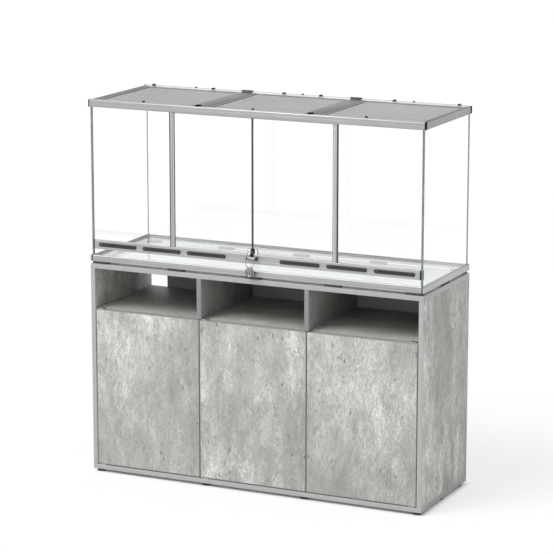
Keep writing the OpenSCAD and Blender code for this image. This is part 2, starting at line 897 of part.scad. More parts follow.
// Small round stops on top of the rails
module rail_buttons() {
    row_y = depth / 2 - top_d + button_d / 2;
    color("#17181a") {
        for (x = [-2 * cross_x, -cross_x, 0, cross_x, 2 * cross_x])
            translate([x, y_mid + row_y, z_top]) cylinder(d = button_d, h = button_h);
        for (x = [-cross_x, cross_x])
            translate([x, y_mid - row_y, z_top]) cylinder(d = button_d, h = button_h);
    }
}

// Where a lid's finger knob stands
function finger_x(side) =
    side < 0 ? -(lid_side + lid_cross) / 2
    : side == 0 ? -knob_off_mid
    : (lid_side + lid_cross) / 2 - knob_off_right;

// A lid between x0 and x1: a sheet in a rim, a pad for its knob and two hinges
module lid(x0, x1, side) {
    inner = lid_rim;
    sheet_z = z_ledge + (lid_t - mesh_t) / 2;
    xm = finger_x(side);
    half = hinge_w / 2 + hinge_gap;
    color("#a7a9aa") difference() {
        union() {
            difference() {
                block([x0, lid_y0, z_ledge], [x1, lid_y1, z_lid]);
                block([x0 + inner, lid_y0 + inner, z_ledge - 1],
                      [x1 - inner, lid_y1 - inner, sheet_z]);
                difference() {
                    block([x0 + inner, lid_y0 + inner, sheet_z + mesh_t],
                          [x1 - inner, lid_y1 - inner, z_lid + 1]);
                    block([xm - pad_x, lid_y0, z_ledge], [xm + pad_x, lid_y0 + pad_y, z_lid + 1]);
                }
            }
            for (x = hinge_x(side)) for (s = [-1, 1])
                translate([x + s * (half + (hinge_lug - hinge_gap) / 2), lid_y1, 0]) {
                    w = (hinge_lug - hinge_gap) / 2;
                    translate([0, 0, hinge_z]) bar_x(hinge_r, w);
                    block([-w, -hinge_r, z_lid - 1], [w, 0, hinge_z]);
                }
        }
        for (x = hinge_x(side)) translate([x, lid_y1, hinge_z])
            bar_x(hinge_pin_d / 2 + play, half + 2 * hinge_lug);
    }
}

module lid_left() {
    lid(-lid_side, -lid_cross, -1);
}

module lid_mid() {
    lid(-lid_mid_x, lid_mid_x, 0);
}

module lid_right() {
    lid(lid_cross, lid_side, 1);
}

module lid_knob(x) {
    r = knob_d / 2;
    color("#17181a") translate([x, lid_y0 + pad_y / 2, z_lid]) rotate_extrude() polygon([
        [0, 0], [r - 1.5, 0], [r - 1.5, 1.5], [r, 2.5], [r, knob_h - 1], [r - 1, knob_h],
        [0, knob_h]
    ]);
}

feet();
bottom_panel();
top_panel();
side_panel(-1);  // side_panel_left
side_panel(1);  // side_panel_right
dividers();
niche_shelves();
back_panel();
pivot_plates();
push_latch_housings();
plunger(0);  // plunger_left
plunger(1);  // plunger_mid
plunger(2);  // plunger_right
door(0);  // door_left
door(1);  // door_mid
door(2);  // door_right
support_pads();
base_cross_rail(0);  // base_rail_front
base_cross_rail(180);  // base_rail_rear
base_side_rails();
corner_caps();
glass_bottom();
glass_back_pane();
glass_end(-1);  // glass_left
glass_end(1);  // glass_right
glass_sill();
vent_strip();
vent_grilles();
vent_shutter(0);  // vent_shutter_1
vent_shutter(1);  // vent_shutter_2
vent_shutter(2);  // vent_shutter_3
vent_shutter(3);  // vent_shutter_4
vent_shutter(4);  // vent_shutter_5
vent_shutter(5);  // vent_shutter_6
glass_fixed(-1);  // glass_fixed_left
glass_fixed(1);  // glass_fixed_right
posts();
post_gaskets();
glass_door(-1);  // glass_door_left
glass_door(1);  // glass_door_right
door_stile(-1);  // door_stile_left
door_stile(1);  // door_stile_right
door_seal();
latch_catch();
latch_base();
latch_lever();
latch_bail();
top_rail_front();
top_rail_rear();
top_side_bars();
cross_bars();
top_end_caps();
lid_hinge_blocks();
rail_buttons();
lid_left();
lid_mid();
lid_right();
lid_knob(finger_x(-1));  // lid_knob_left
lid_knob(finger_x(0));  // lid_knob_mid
lid_knob(finger_x(1));  // lid_knob_right
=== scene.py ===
# Glass terrarium on its three-door cabinet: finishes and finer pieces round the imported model.
from math import asin, atan2, cos, degrees, pi, radians, sin

import bmesh
import bpy
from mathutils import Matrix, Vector


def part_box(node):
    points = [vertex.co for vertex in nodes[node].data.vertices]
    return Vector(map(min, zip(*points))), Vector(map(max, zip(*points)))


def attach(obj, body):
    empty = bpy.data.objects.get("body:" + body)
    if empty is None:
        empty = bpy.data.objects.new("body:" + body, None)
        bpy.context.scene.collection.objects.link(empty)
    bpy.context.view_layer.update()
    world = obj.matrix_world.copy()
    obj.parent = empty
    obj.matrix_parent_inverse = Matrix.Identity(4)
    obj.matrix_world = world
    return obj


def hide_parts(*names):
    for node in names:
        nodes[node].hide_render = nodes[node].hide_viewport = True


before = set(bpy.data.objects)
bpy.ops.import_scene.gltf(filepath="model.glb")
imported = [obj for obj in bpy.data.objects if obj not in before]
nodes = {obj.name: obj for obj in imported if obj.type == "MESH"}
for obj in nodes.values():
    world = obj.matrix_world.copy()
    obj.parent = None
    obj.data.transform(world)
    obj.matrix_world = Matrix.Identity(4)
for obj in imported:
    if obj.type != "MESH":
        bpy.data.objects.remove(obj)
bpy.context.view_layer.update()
scene = bpy.context.scene
mm = 0.001
fixedBody = "cabinet_and_tank"
bays = ("left", "mid", "right")
print("Frame loaded:", len(nodes), "nodes")


# Each input, by name or number, is set to a value or linked to another node's output
def feedNode(tree, node, inputs):
    for name, value in inputs.items():
        if isinstance(value, bpy.types.NodeSocket):
            tree.links.new(value, node.inputs[name])
        else:
            node.inputs[name].default_value = value
    return node


def addNode(tree, kind, inputs):
    return feedNode(tree, tree.nodes.new("ShaderNode" + kind), inputs)


def addMath(tree, operation, first, second=0):
    node = addNode(tree, "Math", {0: first, 1: second})
    node.operation = operation
    return node.outputs[0]


# Shows the second shader by the share that is given, and the first one for the rest
def mixShaders(tree, output, share, first, second):
    mix = addNode(tree, "MixShader", {0: share, 1: first.outputs[0], 2: second.outputs[0]})
    tree.links.new(mix.outputs[0], output.inputs["Surface"])


# A material with its shader, and short ways to add linked nodes
class Finish:
    def __init__(self, name):
        self.material = bpy.data.materials.new(name)
        self.material.use_nodes = True
        self.tree = self.material.node_tree
        self.shader = self.tree.nodes["Principled BSDF"]
        self.place = addNode(self.tree, "TexCoord", {}).outputs["Object"]

    def link(self, source, name):
        feedNode(self.tree, self.shader, {name: source})

    # The object's own coordinates, stretched, turned and moved
    def mapped(self, scale, shift=(0, 0, 0), turn=(0, 0, 0)):
        inputs = {"Vector": self.place, "Scale": scale, "Location": shift,
                  "Rotation": [radians(t) for t in turn]}
        return addNode(self.tree, "Mapping", inputs).outputs["Vector"]

    def noise(self, where, scale, detail=4, roughness=0.6, distortion=0):
        inputs = {"Vector": where, "Scale": scale, "Detail": detail, "Roughness": roughness,
                  "Distortion": distortion}
        return addNode(self.tree, "TexNoise", inputs).outputs["Fac"]

    # Distance to the nearest of a scatter of points in the first two coordinates
    def cells(self, where, scale):
        node = addNode(self.tree, "TexVoronoi", {"Vector": where, "Scale": scale})
        node.voronoi_dimensions = "2D"
        return node.outputs["Distance"]

    # Values from low to high become start to end, held outside
    def spread(self, value, low, high, start=0, end=1):
        inputs = {"Value": value, "From Min": low, "From Max": high, "To Min": start, "To Max": end}
        node = addNode(self.tree, "MapRange", inputs)
        node.interpolation_type = "SMOOTHSTEP"
        return node.outputs["Result"]

    def calculate(self, operation, first, second=0):
        return addMath(self.tree, operation, first, second)

    def times(self, value, *factors):
        for factor in factors:
            value = self.calculate("MULTIPLY", value, factor)
        return value

    # The base colour is a tint times a grey value worked out by nodes
    def paint(self, value, tint):
        mix = addNode(self.tree, "Mix", {})
        mix.data_type = "RGBA"
        mix.blend_type = "MULTIPLY"
        feedNode(self.tree, mix, {"Factor": 1, "A": (*tint, 1), "B": value})
        self.link(mix.outputs["Result"], "Base Color")

    def bump(self, height, depth, strength=0.5):
        inputs = {"Height": height, "Distance": depth, "Strength": strength}
        self.link(addNode(self.tree, "Bump", inputs).outputs["Normal"], "Normal")

    def set(self, **values):
        for name, value in values.items():
            socket = self.shader.inputs[name.replace("_", " ")]
            socket.default_value = (*value, 1) if isinstance(value, tuple) else value
        return self

    # Colour, roughness and relief from patterns. A shade, and the gloss, is (pattern, low,
    # start, end): it goes from start to end while the pattern rises from low to 0.7
    def dress(self, tint, shades, gloss, relief, **values):
        *tones, roughness = [self.spread(pattern, low, 0.7, start, end)
                             for pattern, low, start, end in (*shades, gloss)]
        self.paint(self.times(*tones), tint)
        self.link(roughness, "Roughness")
        self.bump(*relief)
        return self.set(**values).material

    # Shows another shader by the share that is given
    def mixWith(self, other, share):
        mixShaders(self.tree, self.tree.nodes["Material Output"], share, self.shader, other)


view = {
    "azimuth": 25.336,  # degrees, towards the right end
    "elevation": 12.17,
    "distance": 8.291,
    "target": (-0.00724, 0.0129, 0.69191),
    "lens": 162.59,
    "farthest": 200,
}


def directionFrom(azimuth, elevation):
    a, e = radians(azimuth), radians(elevation)
    return Vector((sin(a) * cos(e), -cos(a) * cos(e), sin(e)))


def placeCamera():
    back = directionFrom(view["azimuth"], view["elevation"])
    spot = Vector(view["target"]) + view["distance"] * back
    turn = back.to_track_quat("Z", "Y").to_euler()
    bpy.ops.object.camera_add(location=spot, rotation=turn)
    camera = bpy.context.object
    camera.data.lens = view["lens"]
    camera.data.clip_end = view["farthest"]
    scene.camera = camera


light = {
    "sky": 0.66,  # strength of the even light from all round
    "keyStrength": 1.85,
    "keySoftness": 34,  # degrees across
    "keyAzimuth": -36,  # degrees, towards the left end
    "keyElevation": 50,
}


# A soft sun, and an even sky that is plain white where it is seen, mirrored or shines through
def placeLights():
    toKey = directionFrom(light["keyAzimuth"], light["keyElevation"])
    bpy.ops.object.light_add(type="SUN", rotation=toKey.to_track_quat("Z", "Y").to_euler())
    key = bpy.context.object.data
    key.energy = light["keyStrength"]
    key.angle = radians(light["keySoftness"])
    world = scene.world or bpy.data.worlds.new("Studio")
    scene.world = world
    world.use_nodes = True
    tree = world.node_tree
    tree.nodes.clear()
    rays = addNode(tree, "LightPath", {}).outputs
    seen = addMath(tree, "MAXIMUM", rays["Is Camera Ray"], rays["Is Glossy Ray"])
    seen = addMath(tree, "MAXIMUM", seen, rays["Is Transmission Ray"])
    sky, backdrop = [addNode(tree, "Background", {"Color": (1, 1, 1, 1), "Strength": strength})
                     for strength in (light["sky"], 1)]
    mixShaders(tree, addNode(tree, "OutputWorld", {}), seen, sky, backdrop)


floorPaper = {
    "size": 80,
    "tone": 0.94,
    "pale": 0.66,  # how far the floor itself shows as white, which thins its shadows
    "underPale": 0.04,  # the same beneath the cabinet
    "underHalf": (0.60, 0.20),  # half the cabinet's footprint, round underMiddle
    "underMiddle": (0.0, 0.012),
    "underFade": (-0.012, 0.022),  # where one becomes the other, outwards from its edge
}


def layFloor():
    bpy.ops.mesh.primitive_plane_add(size=floorPaper["size"])
    floor = bpy.context.object
    floor.name = "floor"
    paper = Finish("floorPaper")
    paper.set(Base_Color=(floorPaper["tone"],) * 3, Roughness=1, Specular_IOR_Level=0)
    place = addNode(paper.tree, "SeparateXYZ", {0: paper.place})
    beyond = []  # how far a point of the floor lies outside the footprint
    for i in (0, 1):
        away = paper.calculate("SUBTRACT", place.outputs[i], floorPaper["underMiddle"][i])
        away = paper.calculate("ABSOLUTE", away)
        beyond.append(paper.calculate("SUBTRACT", away, floorPaper["underHalf"][i]))
    pale = paper.spread(paper.calculate("MAXIMUM", *beyond), *floorPaper["underFade"],
                        floorPaper["underPale"], floorPaper["pale"])
    rays = addNode(paper.tree, "LightPath", {}).outputs
    glow = addNode(paper.tree, "Emission", {})
    paper.mixWith(glow, paper.times(rays["Is Camera Ray"], pale))
    floor.data.materials.append(paper.material)


bpy.ops.object.select_all(action="DESELECT")
placeCamera()
placeLights()
layFloor()
scene.view_settings.view_transform = "Standard"
print("Camera, light and floor placed")

concrete = {
    "tint": (1.0, 1.0, 0.958),
    "drawn": 0.5,  # how far the pattern is drawn out upwards
    "cloudScale": 4.2,  # features of the widest clouds, per metre
    "mottleScale": 15,
    "patchScale": 6.5,
    "speckScale": 300,
    "streakScale": (230, 230, 52),
    "crackScale": 17,
    "pitScale": 27,
    "pitDrawn": 0.36,
    "pitSize": 0.09,
    "gatherScale": 31,  # of the noise that says where pits gather
    "wornEdge": (0.515, 0.56),  # levels between which a worn patch sets in
    "smearEdge": (0.34, 0.44),
    "crackEdge": (0.002, 0.014),  # from a crack's middle to where it ends
    "cloudReach": 0.19,  # how far each pattern lightens and darkens the foil
    "mottleReach": 0.34,
    "streakReach": 0.23,
    "speckReach": 0.22,
    "wornPale": 0.16,
    "smearDark": 0.14,
    "crackDark": 0.34,
    "pitDark": 0.5,
    "skin": 0.2 * mm,  # depth of the relief
}


# Foil printed like cast concrete: clouds, fine mottling that is stronger where the clouds
# are pale, short upright streaks, worn patches with hard edges, cracks and pits
def concreteFoil(name, tone, shift, across="y", contrast=1.0, streaks=1.0, pits=1.0):
    foil = Finish(name)
    drawn = concrete["drawn"]
    flat = foil.mapped((1, 1, drawn), shift)
    other = foil.mapped((1, 1, drawn * 0.9), [c + 3.7 for c in shift])
    clouds = foil.noise(flat, concrete["cloudScale"], 3, 0.6, 0.25)
    mottle = foil.noise(other, concrete["mottleScale"], 9, 0.86, 0.2)
    speck = foil.noise(foil.mapped((1, 1, 0.7), shift), concrete["speckScale"], 3, 0.8)
    streak = foil.noise(foil.mapped(concrete["streakScale"], shift), 1, 4, 0.75)
    patch = foil.noise(foil.mapped((1, 1, drawn * 0.8), [c + 7.9 for c in shift]),
                       concrete["patchScale"], 10, 0.78, 0.4)

    reach = concrete["cloudReach"] * contrast
    value = foil.spread(clouds, 0.3, 0.7, 1 - reach, 1 + reach)
    liveliness = foil.spread(clouds, 0.35, 0.65, 0.55, 1.1)
    reaches = ((mottle, concrete["mottleReach"] * contrast), (streak, concrete["streakReach"] * streaks),
               (speck, concrete["speckReach"] * contrast))
    for pattern, reach in reaches:
        swing = foil.times(foil.spread(pattern, 0.27, 0.73, -reach, reach), liveliness)
        value = foil.times(value, foil.calculate("ADD", swing, 1))
    worn = foil.spread(patch, *concrete["wornEdge"])
    pale = foil.spread(worn, 0, 1, 1, 1 + concrete["wornPale"] * contrast)
    smear = foil.spread(patch, *concrete["smearEdge"], 1 - concrete["smearDark"] * contrast, 1)
    # Cracks follow the level lines of a twisted noise, within the worn patches
    level = foil.noise(other, concrete["crackScale"], 3, 0.6, 1.6)
    offLevel = foil.calculate("ABSOLUTE", foil.calculate("SUBTRACT", level, 0.5))
    crack = foil.times(foil.spread(offLevel, *concrete["crackEdge"], 1, 0), worn)
    cracked = foil.spread(crack, 0, 1, 1, 1 - concrete["crackDark"] * pits)
    # Pits are short upright dashes, here and there
    turn = {"y": (-90, 0, 0), "x": (-90, 90, 0), "z": (0, 0, 0)}[across]
    scattered = foil.mapped((1, 1, concrete["pitDrawn"]), shift, turn)
    hole = foil.cells(scattered, concrete["pitScale"])
    gather = foil.noise(flat, concrete["gatherScale"], 2, 0.5)
    here = foil.spread(gather, 0.47, 0.6, 0, concrete["pitSize"] * pits)
    pit = foil.spread(foil.calculate("SUBTRACT", here, hole), 0, 0.035)
    pitted = foil.spread(pit, 0, 1, 1, concrete["pitDark"])
    foil.paint(foil.times(value, pale, smear, cracked, pitted, tone), concrete["tint"])
    foil.link(foil.spread(mottle, 0.3, 0.7, 0.62, 0.48), "Roughness")
    foil.bump(foil.calculate("ADD", streak, foil.times(pit, -1.5)), concrete["skin"])
    return foil.set(Specular_IOR_Level=0.35).material


# Plain foil on the boards' narrow edges
def edgeFoil(name, tone, tint=(1, 1, 1)):
    foil = Finish(name)
    mottle = foil.noise(foil.place, 60)
    grain = foil.noise(foil.place, 900, 2)
    shades = ((mottle, 0.3, 0.96 * tone, 1.03 * tone), (grain, 0.3, 0.97, 1.03))
    return foil.dress(tint, shades, (mottle, 0.3, 0.5, 0.42), (grain, 0.06 * mm),
                      Specular_IOR_Level=0.4)


# Satin anodised extrusion, with drawing lines along one axis
def anodised(name, tone, along, metallic=0.75, tint=(1, 1, 1.01)):
    metal = Finish(name)
    scale = [5 if axis == along else 900 for axis in "xyz"]
    lines = metal.noise(metal.mapped(scale), 1, 3, 0.55)
    cloud = metal.noise(metal.place, 7, 3, 0.5)
    shades = ((lines, 0.3, 0.93 * tone, 1.05 * tone), (cloud, 0.3, 0.97, 1.03))
    return metal.dress(tint, shades, (lines, 0.3, 0.36, 0.48), (lines, 0.04 * mm),
                       Metallic=metallic, Specular_IOR_Level=0.5)


# Moulded plastic or rubber with a fine grained skin
def moulded(name, colour, roughness, grainScale=1400, depth=0.05 * mm, specular=0.5):
    plastic = Finish(name)
    grain = plastic.noise(plastic.place, grainScale, 3)
    wear = plastic.noise(plastic.place, 90)
    gloss = (wear, 0.3, roughness - 0.05, roughness + 0.07)
    return plastic.dress(colour, ((grain, 0.3, 0.88, 1.12), (wear, 0.35, 0.95, 1.1)), gloss,
                         (grain, depth, 0.6), Specular_IOR_Level=specular)


# Polished or plated metal with faint wiping marks
def plated(name, tone, roughness, tint=(1, 1, 1)):
    metal = Finish(name)
    wipe = metal.noise(metal.mapped((1, 1, 0.3)), 300)
    dull = metal.noise(metal.place, 45)
    gloss = (dull, 0.35, roughness, roughness + 0.12)
    return metal.dress(tint, ((wipe, 0.3, 0.92 * tone, 1.04 * tone),), gloss,
                       (wipe, 0.02 * mm, 0.4), Metallic=1.0)


# Clear glass that lets the lamps through to what is behind it
def clearGlass(name):
    glass = Finish(name)
    dust = glass.noise(glass.place, 14)
    glass.link(glass.spread(dust, 0.45, 0.8, 0.0, 0.02), "Roughness")
    glass.set(Base_Color=(0.995, 1.0, 0.998), IOR=1.5, Transmission_Weight=1.0)
    rays = addNode(glass.tree, "LightPath", {}).outputs
    passed = addNode(glass.tree, "BsdfTransparent", {"Color": (0.94, 0.96, 0.95, 1)})
    glass.mixWith(passed, rays["Is Shadow Ray"])
    return glass.material


# The ground edge of a pane, where the glass shows its green
def groundEdge(name, colour):
    edge = Finish(name)
    cloud = edge.noise(edge.place, 26, 3, 0.55)
    grind = edge.noise(edge.mapped((700, 700, 40)), 1, 3)
    return edge.dress(colour, ((cloud, 0.3, 0.82, 1.12), (grind, 0.3, 0.92, 1.08)),
                      (grind, 0.3, 0.22, 0.36), (grind, 0.05 * mm), IOR=1.5)


doorFoils = {
    "left": concreteFoil("doorFoilLeft", 0.42, (1.3, 0, 4.1)),
    "mid": concreteFoil("doorFoilMid", 0.445, (5.2, 0, 3.6), "y", 1.25),
    "right": concreteFoil("doorFoilRight", 0.41, (9.4, 0, 7.7)),
}
sideFoil = concreteFoil("sideFoil", 0.405, (2.2, 1.7, 5.0), "x", 1.3, 1.3, 0.7)
# The niche walls' foil is a darker copy of the outer foil: painted shade in the niches
paintedShadeInnerFoil = concreteFoil("paintedShadeInnerFoil", 0.27, (6.1, 3.1, 8.8), "y", 0.6, 1.2, 0.3)
shelfFoil = concreteFoil("shelfFoil", 0.40, (3.1, 8.1, 1.8), "z", 0.6, 1.0, 0.3)
backFoil = edgeFoil("backFoil", 0.42)
bandFoil = edgeFoil("bandFoil", 0.40)
# Darker edge foil of the niche walls, painted shade
paintedShadeInnerBand = edgeFoil("paintedShadeInnerBand", 0.25)
# The doors' edge foil is darker than the other boards', painted shade in the gaps between doors; their
# upward edges take a paler copy, painted light
doorBand = edgeFoil("doorBand", 0.27, (1, 1, 0.96))
doorTop = edgeFoil("doorTop", 0.37, (1, 1, 0.96))
# The top board's upper face, much paler than its edges: painted light under the tank
paintedLightTopFoil = edgeFoil("paintedLightTopFoil", 0.72)
railAluminium = anodised("railAluminium", 0.42, "x")
# A much paler copy of the rail aluminium: painted light on bands that should look lit
paintedLightAluminium = anodised("paintedLightAluminium", 0.86, "x")
# The up-facing faces' own tone, set for the light from above: painted light
paintedTopLightAluminium = anodised("paintedTopLightAluminium", 0.39, "x")
# A paler copy for the end rails, painted light on faces that the key leaves in shade
paintedLightSideRailAluminium = anodised("paintedLightSideRailAluminium", 0.50, "y")
postAluminium = anodised("postAluminium", 0.47, "z")
# Dark bar aluminium; also the painted shade strip along the rear rail's top
barAluminiumAndShadeStrip = anodised("barAluminiumAndShadeStrip", 0.15, "y", 0.6)
# A paler copy for the end bars' sides: painted light
paintedLightBarSides = anodised("paintedLightBarSides", 0.36, "y")
meshWire = anodised("meshWire", 0.165, "x", 0.5)
lidAluminium = anodised("lidAluminium", 0.25, "x", 0.5)
blackPlastic = moulded("blackPlastic", (0.018, 0.018, 0.020), 0.42)
mattPlastic = moulded("mattPlastic", (0.012, 0.012, 0.013), 0.8, specular=0.12)
grillePlastic = moulded("grillePlastic", (0.040, 0.040, 0.044), 0.45)
knobPlastic = moulded("knobPlastic", (0.026, 0.026, 0.029), 0.38)
whitePlastic = moulded("whitePlastic", (0.74, 0.74, 0.72), 0.30)
sealRubberAndShadeLip = moulded("sealRubberAndShadeLip", (0.075, 0.077, 0.080), 0.65, 900, 0.08 * mm, 0.3)
stilePlastic = moulded("stilePlastic", (0.42, 0.425, 0.43), 0.40)
paintedLightStile = moulded("paintedLightStile", (0.66, 0.665, 0.67), 0.40)
padRubber = moulded("padRubber", (0.085, 0.082, 0.080), 0.75, 500, 0.3 * mm, 0.25)
seamSilicone = moulded("seamSilicone", (0.42, 0.45, 0.43), 0.35, 300, 0.1 * mm)
pivotSteel = plated("pivotSteel", 0.62, 0.42, (1.0, 1.0, 0.98))
latchMetal = plated("latchMetal", 0.34, 0.20)
catchMetal = anodised("catchMetal", 0.34, "x")
latchWire = plated("latchWire", 0.30, 0.18)
paneGlass = clearGlass("paneGlass")
paneEdge = groundEdge("paneEdge", (0.19, 0.225, 0.205))
print("Materials made")


def clearSelection():
    bpy.ops.object.select_all(action="DESELECT")


def makeActive(piece):
    clearSelection()
    piece.select_set(True)
    bpy.context.view_layer.objects.active = piece


# Puts the object at the origin, with its place in its mesh
def settle(piece):
    makeActive(piece)
    bpy.ops.object.transform_apply(location=True, rotation=True, scale=True)


# Runs edit-mode operators one after the other, each on the whole piece
def editWhole(piece, *operators):
    makeActive(piece)
    bpy.ops.object.mode_set(mode="EDIT")
    for operate in operators:
        bpy.ops.mesh.select_all(action="SELECT")
        operate()
    bpy.ops.object.mode_set(mode="OBJECT")


# Runs an edit-mode operator on the faces or edges that a test picks
def editPicked(piece, kind, test, operate):
    makeActive(piece)
    bpy.ops.object.mode_set(mode="EDIT")
    bpy.context.tool_settings.mesh_select_mode = (False, kind == "EDGE", kind == "FACE")
    bpy.ops.mesh.select_all(action="DESELECT")
    shape = bmesh.from_edit_mesh(piece.data)
    shape.normal_update()
    picked = [p for p in (shape.edges if kind == "EDGE" else shape.faces) if test(p)]
    for part in picked:
        part.select_set(True)
    shape.select_flush_mode()
    bmesh.update_edit_mesh(piece.data)
    if picked:
        operate()
    bpy.ops.object.mode_set(mode="OBJECT")


def edgeAlong(edge, axis):
    run = edge.verts[1].co - edge.verts[0].co
    return abs(run["xyz".index(axis)]) > 0.99 * run.length


def extrudeBy(move):
    bpy.ops.mesh.extrude_region_move(TRANSFORM_OT_translate={"value": move})


def turnOutwards():
    bpy.ops.mesh.normals_make_consistent(inside=False)


def bevelPicked(piece, test, width, segments):
    editPicked(piece, "EDGE", test, lambda: bpy.ops.mesh.bevel(
        offset=width, segments=segments, affect="EDGES"))


# Cuts new edges round a piece where a plane crosses it
def cutAcross(piece, place, across):
    editWhole(piece, lambda: bpy.ops.mesh.bisect(plane_co=place, plane_no=across))


def roundEdges(piece, width, segments=2, angle=40):
    makeActive(piece)
    bevel = piece.modifiers.new("edges", "BEVEL")
    bevel.width = width
    bevel.segments = segments
    bevel.limit_method = "ANGLE"
    bevel.angle_limit = radians(angle)
    bpy.ops.object.modifier_apply(modifier=bevel.name)


def addBlock(name, low, high):
    clearSelection()
    low, high = Vector(low), Vector(high)
    bpy.ops.mesh.primitive_cube_add(size=1, location=(low + high) / 2)
    piece = bpy.context.object
    piece.name = name
    piece.scale = high - low
    settle(piece)
    return piece


# Blocks with rounded edges, from pairs of corners
def addBlocks(name, corners, width, segments=2):
    blocks = [addBlock(name, low, high) for low, high in corners]
    for block in blocks:
        roundEdges(block, width, segments)
    return blocks


alongTurns = {"x": (0, pi / 2, 0), "y": (pi / 2, 0, 0), "z": (0, 0, 0)}
turnSteps = 32
mergeWithin = 0.002 * mm  # corners closer than this become one
flatWithin = 0.5  # degrees; faces this near to one plane are joined


# A round bar from its middle, its length along x, y or z
def addRound(name, middle, radius, length, along="z", corners=32):
    clearSelection()
    bpy.ops.mesh.primitive_cylinder_add(vertices=corners, radius=radius, depth=length,
                                        location=middle, rotation=alongTurns[along])
    piece = bpy.context.object
    piece.name = name
    settle(piece)
    return piece


def joinAll(name, parts):
    clearSelection()
    for part in parts:
        part.select_set(True)
    bpy.context.view_layer.objects.active = parts[0]
    if len(parts) > 1:
        bpy.ops.object.join()
    parts[0].name = name
    return parts[0]


def addObject(name, data):
    piece = bpy.data.objects.new(name, data)
    scene.collection.objects.link(piece)
    makeActive(piece)
    return piece


def mergeCorners():
    bpy.ops.mesh.remove_doubles(threshold=mergeWithin)


# A merged copy of a node's mesh, with its flat faces whole again; a width rounds its edges
def copyNode(name, node, width=0, segments=2, angle=40):
    mesh = nodes[node].data.copy()
    mesh.materials.clear()
    piece = addObject(name, mesh)
    editWhole(piece, mergeCorners,
              lambda: bpy.ops.mesh.dissolve_limited(angle_limit=radians(flatWithin)))
    if width:
        roundEdges(piece, width, segments, angle)
    return piece


# Points on an arc in a plane, angles in degrees
def arcPoints(middle, radius, start, stop, steps=8):
    turns = [radians(start + (stop - start) * i / steps) for i in range(steps + 1)]
    return [(middle[0] + radius * cos(t), middle[1] + radius * sin(t)) for t in turns]


def meshFromLoop(name, corners, closed=True):
    last = len(corners) if closed else len(corners) - 1
    mesh = bpy.data.meshes.new(name)
    mesh.from_pydata(corners, [(i, (i + 1) % len(corners)) for i in range(last)], [])
    return addObject(name, mesh)


# Fills an outline drawn across one axis and extrudes it along that axis
def sweepOutline(name, outline, along, start, stop):
    index = "xyz".index(along)
    corners, run = [], [0, 0, 0]
    for pair in outline:
        corner = list(pair)
        corner.insert(index, start)
        corners.append(corner)
    run[index] = stop - start
    piece = meshFromLoop(name, corners)
    editWhole(piece, bpy.ops.mesh.edge_face_add, lambda: extrudeBy(run), turnOutwards)
    return piece


# Spins a half outline of (radius, height) pairs; along y the height runs to the front
def turnOutline(name, outline, place, along="z"):
    piece = meshFromLoop(name, [(r, 0, h) for r, h in outline], False)
    editWhole(piece, lambda: bpy.ops.mesh.spin(steps=turnSteps, angle=2 * pi, center=(0, 0, 0),
                                               axis=(0, 0, 1)), mergeCorners, turnOutwards)
    piece.rotation_euler = alongTurns[along]
    piece.location = place
    settle(piece)
    return piece


# A round wire along a list of points
def bendWire(name, path, diameter):
    curve = bpy.data.curves.new(name, "CURVE")
    curve.dimensions = "3D"
    curve.bevel_depth = diameter / 2
    curve.bevel_resolution = 3
    curve.use_fill_caps = True
    spline = curve.splines.new("POLY")
    spline.points.add(len(path) - 1)
    for point, place in zip(spline.points, path):
        point.co = (*place, 1)
    addObject(name, curve)
    bpy.ops.object.convert(target="MESH")
    return bpy.context.object


# Repeats a piece along one axis, each copy with its own faces
def repeatAlong(piece, along, step, count):
    makeActive(piece)
    row = piece.modifiers.new("row", "ARRAY")
    row.use_relative_offset = False
    row.use_constant_offset = True
    row.constant_offset_displace = [step if a == along else 0 for a in "xyz"]
    row.count = count
    bpy.ops.object.modifier_apply(modifier=row.name)
    return piece


# Sinks a groove into the faces that look along one axis; low and high are its corners
def sinkGroove(piece, toward, low, high, depth):
    sign = -1 if toward[0] == "-" else 1
    index = "xyz".index(toward[-1])
    others = [i for i in range(3) if i != index]
    for i in others:
        across = [1 if k == i else 0 for k in range(3)]
        for cut in (low[i], high[i]):
            cutAcross(piece, [cut * part for part in across], across)

    def inGroove(face):
        middle = face.calc_center_median()
        return face.normal[index] * sign > 0.9 and all(low[i] < middle[i] < high[i] for i in others)

    move = [-sign * depth if i == index else 0 for i in range(3)]
    editPicked(piece, "FACE", inGroove, lambda: extrudeBy(move))


def facesAlong(axis, least=0.9):
    index = "xyz".index(axis)
    return lambda face: abs(face.normal[index]) < least


smoothAngle = 38  # degrees; sharper edges stay sharp


# Gives a finished piece its body, the node that it stands for and its finishes.
# Of several finishes each face takes the one whose place the test gives, as 0, 1 or more
def finishPiece(piece, finishes, body=fixedBody, node=None, test=lambda face: 0, smooth=True):
    piece.data.name = piece.name
    piece.data.materials.clear()
    for finish in finishes:
        piece.data.materials.append(finish)
    for face in piece.data.polygons:
        face.material_index = int(test(face))
    if smooth:
        makeActive(piece)
        bpy.ops.object.shade_smooth_by_angle(angle=radians(smoothAngle))
    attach(piece, body)
    if node:
        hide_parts(node)


boardShape = {
    "edgeRound": 0.7 * mm,
    "bandWidth": 1.2 * mm,  # how much of the face the edge band's end shows
    "jointWidth": 0.25 * mm,
    "jointDepth": 0.15 * mm,
    "innerRound": 0.5 * mm,
    "backRound": 0.3 * mm,
    "sharp": 30,  # degrees; edges blunter than this aren't rounded
}


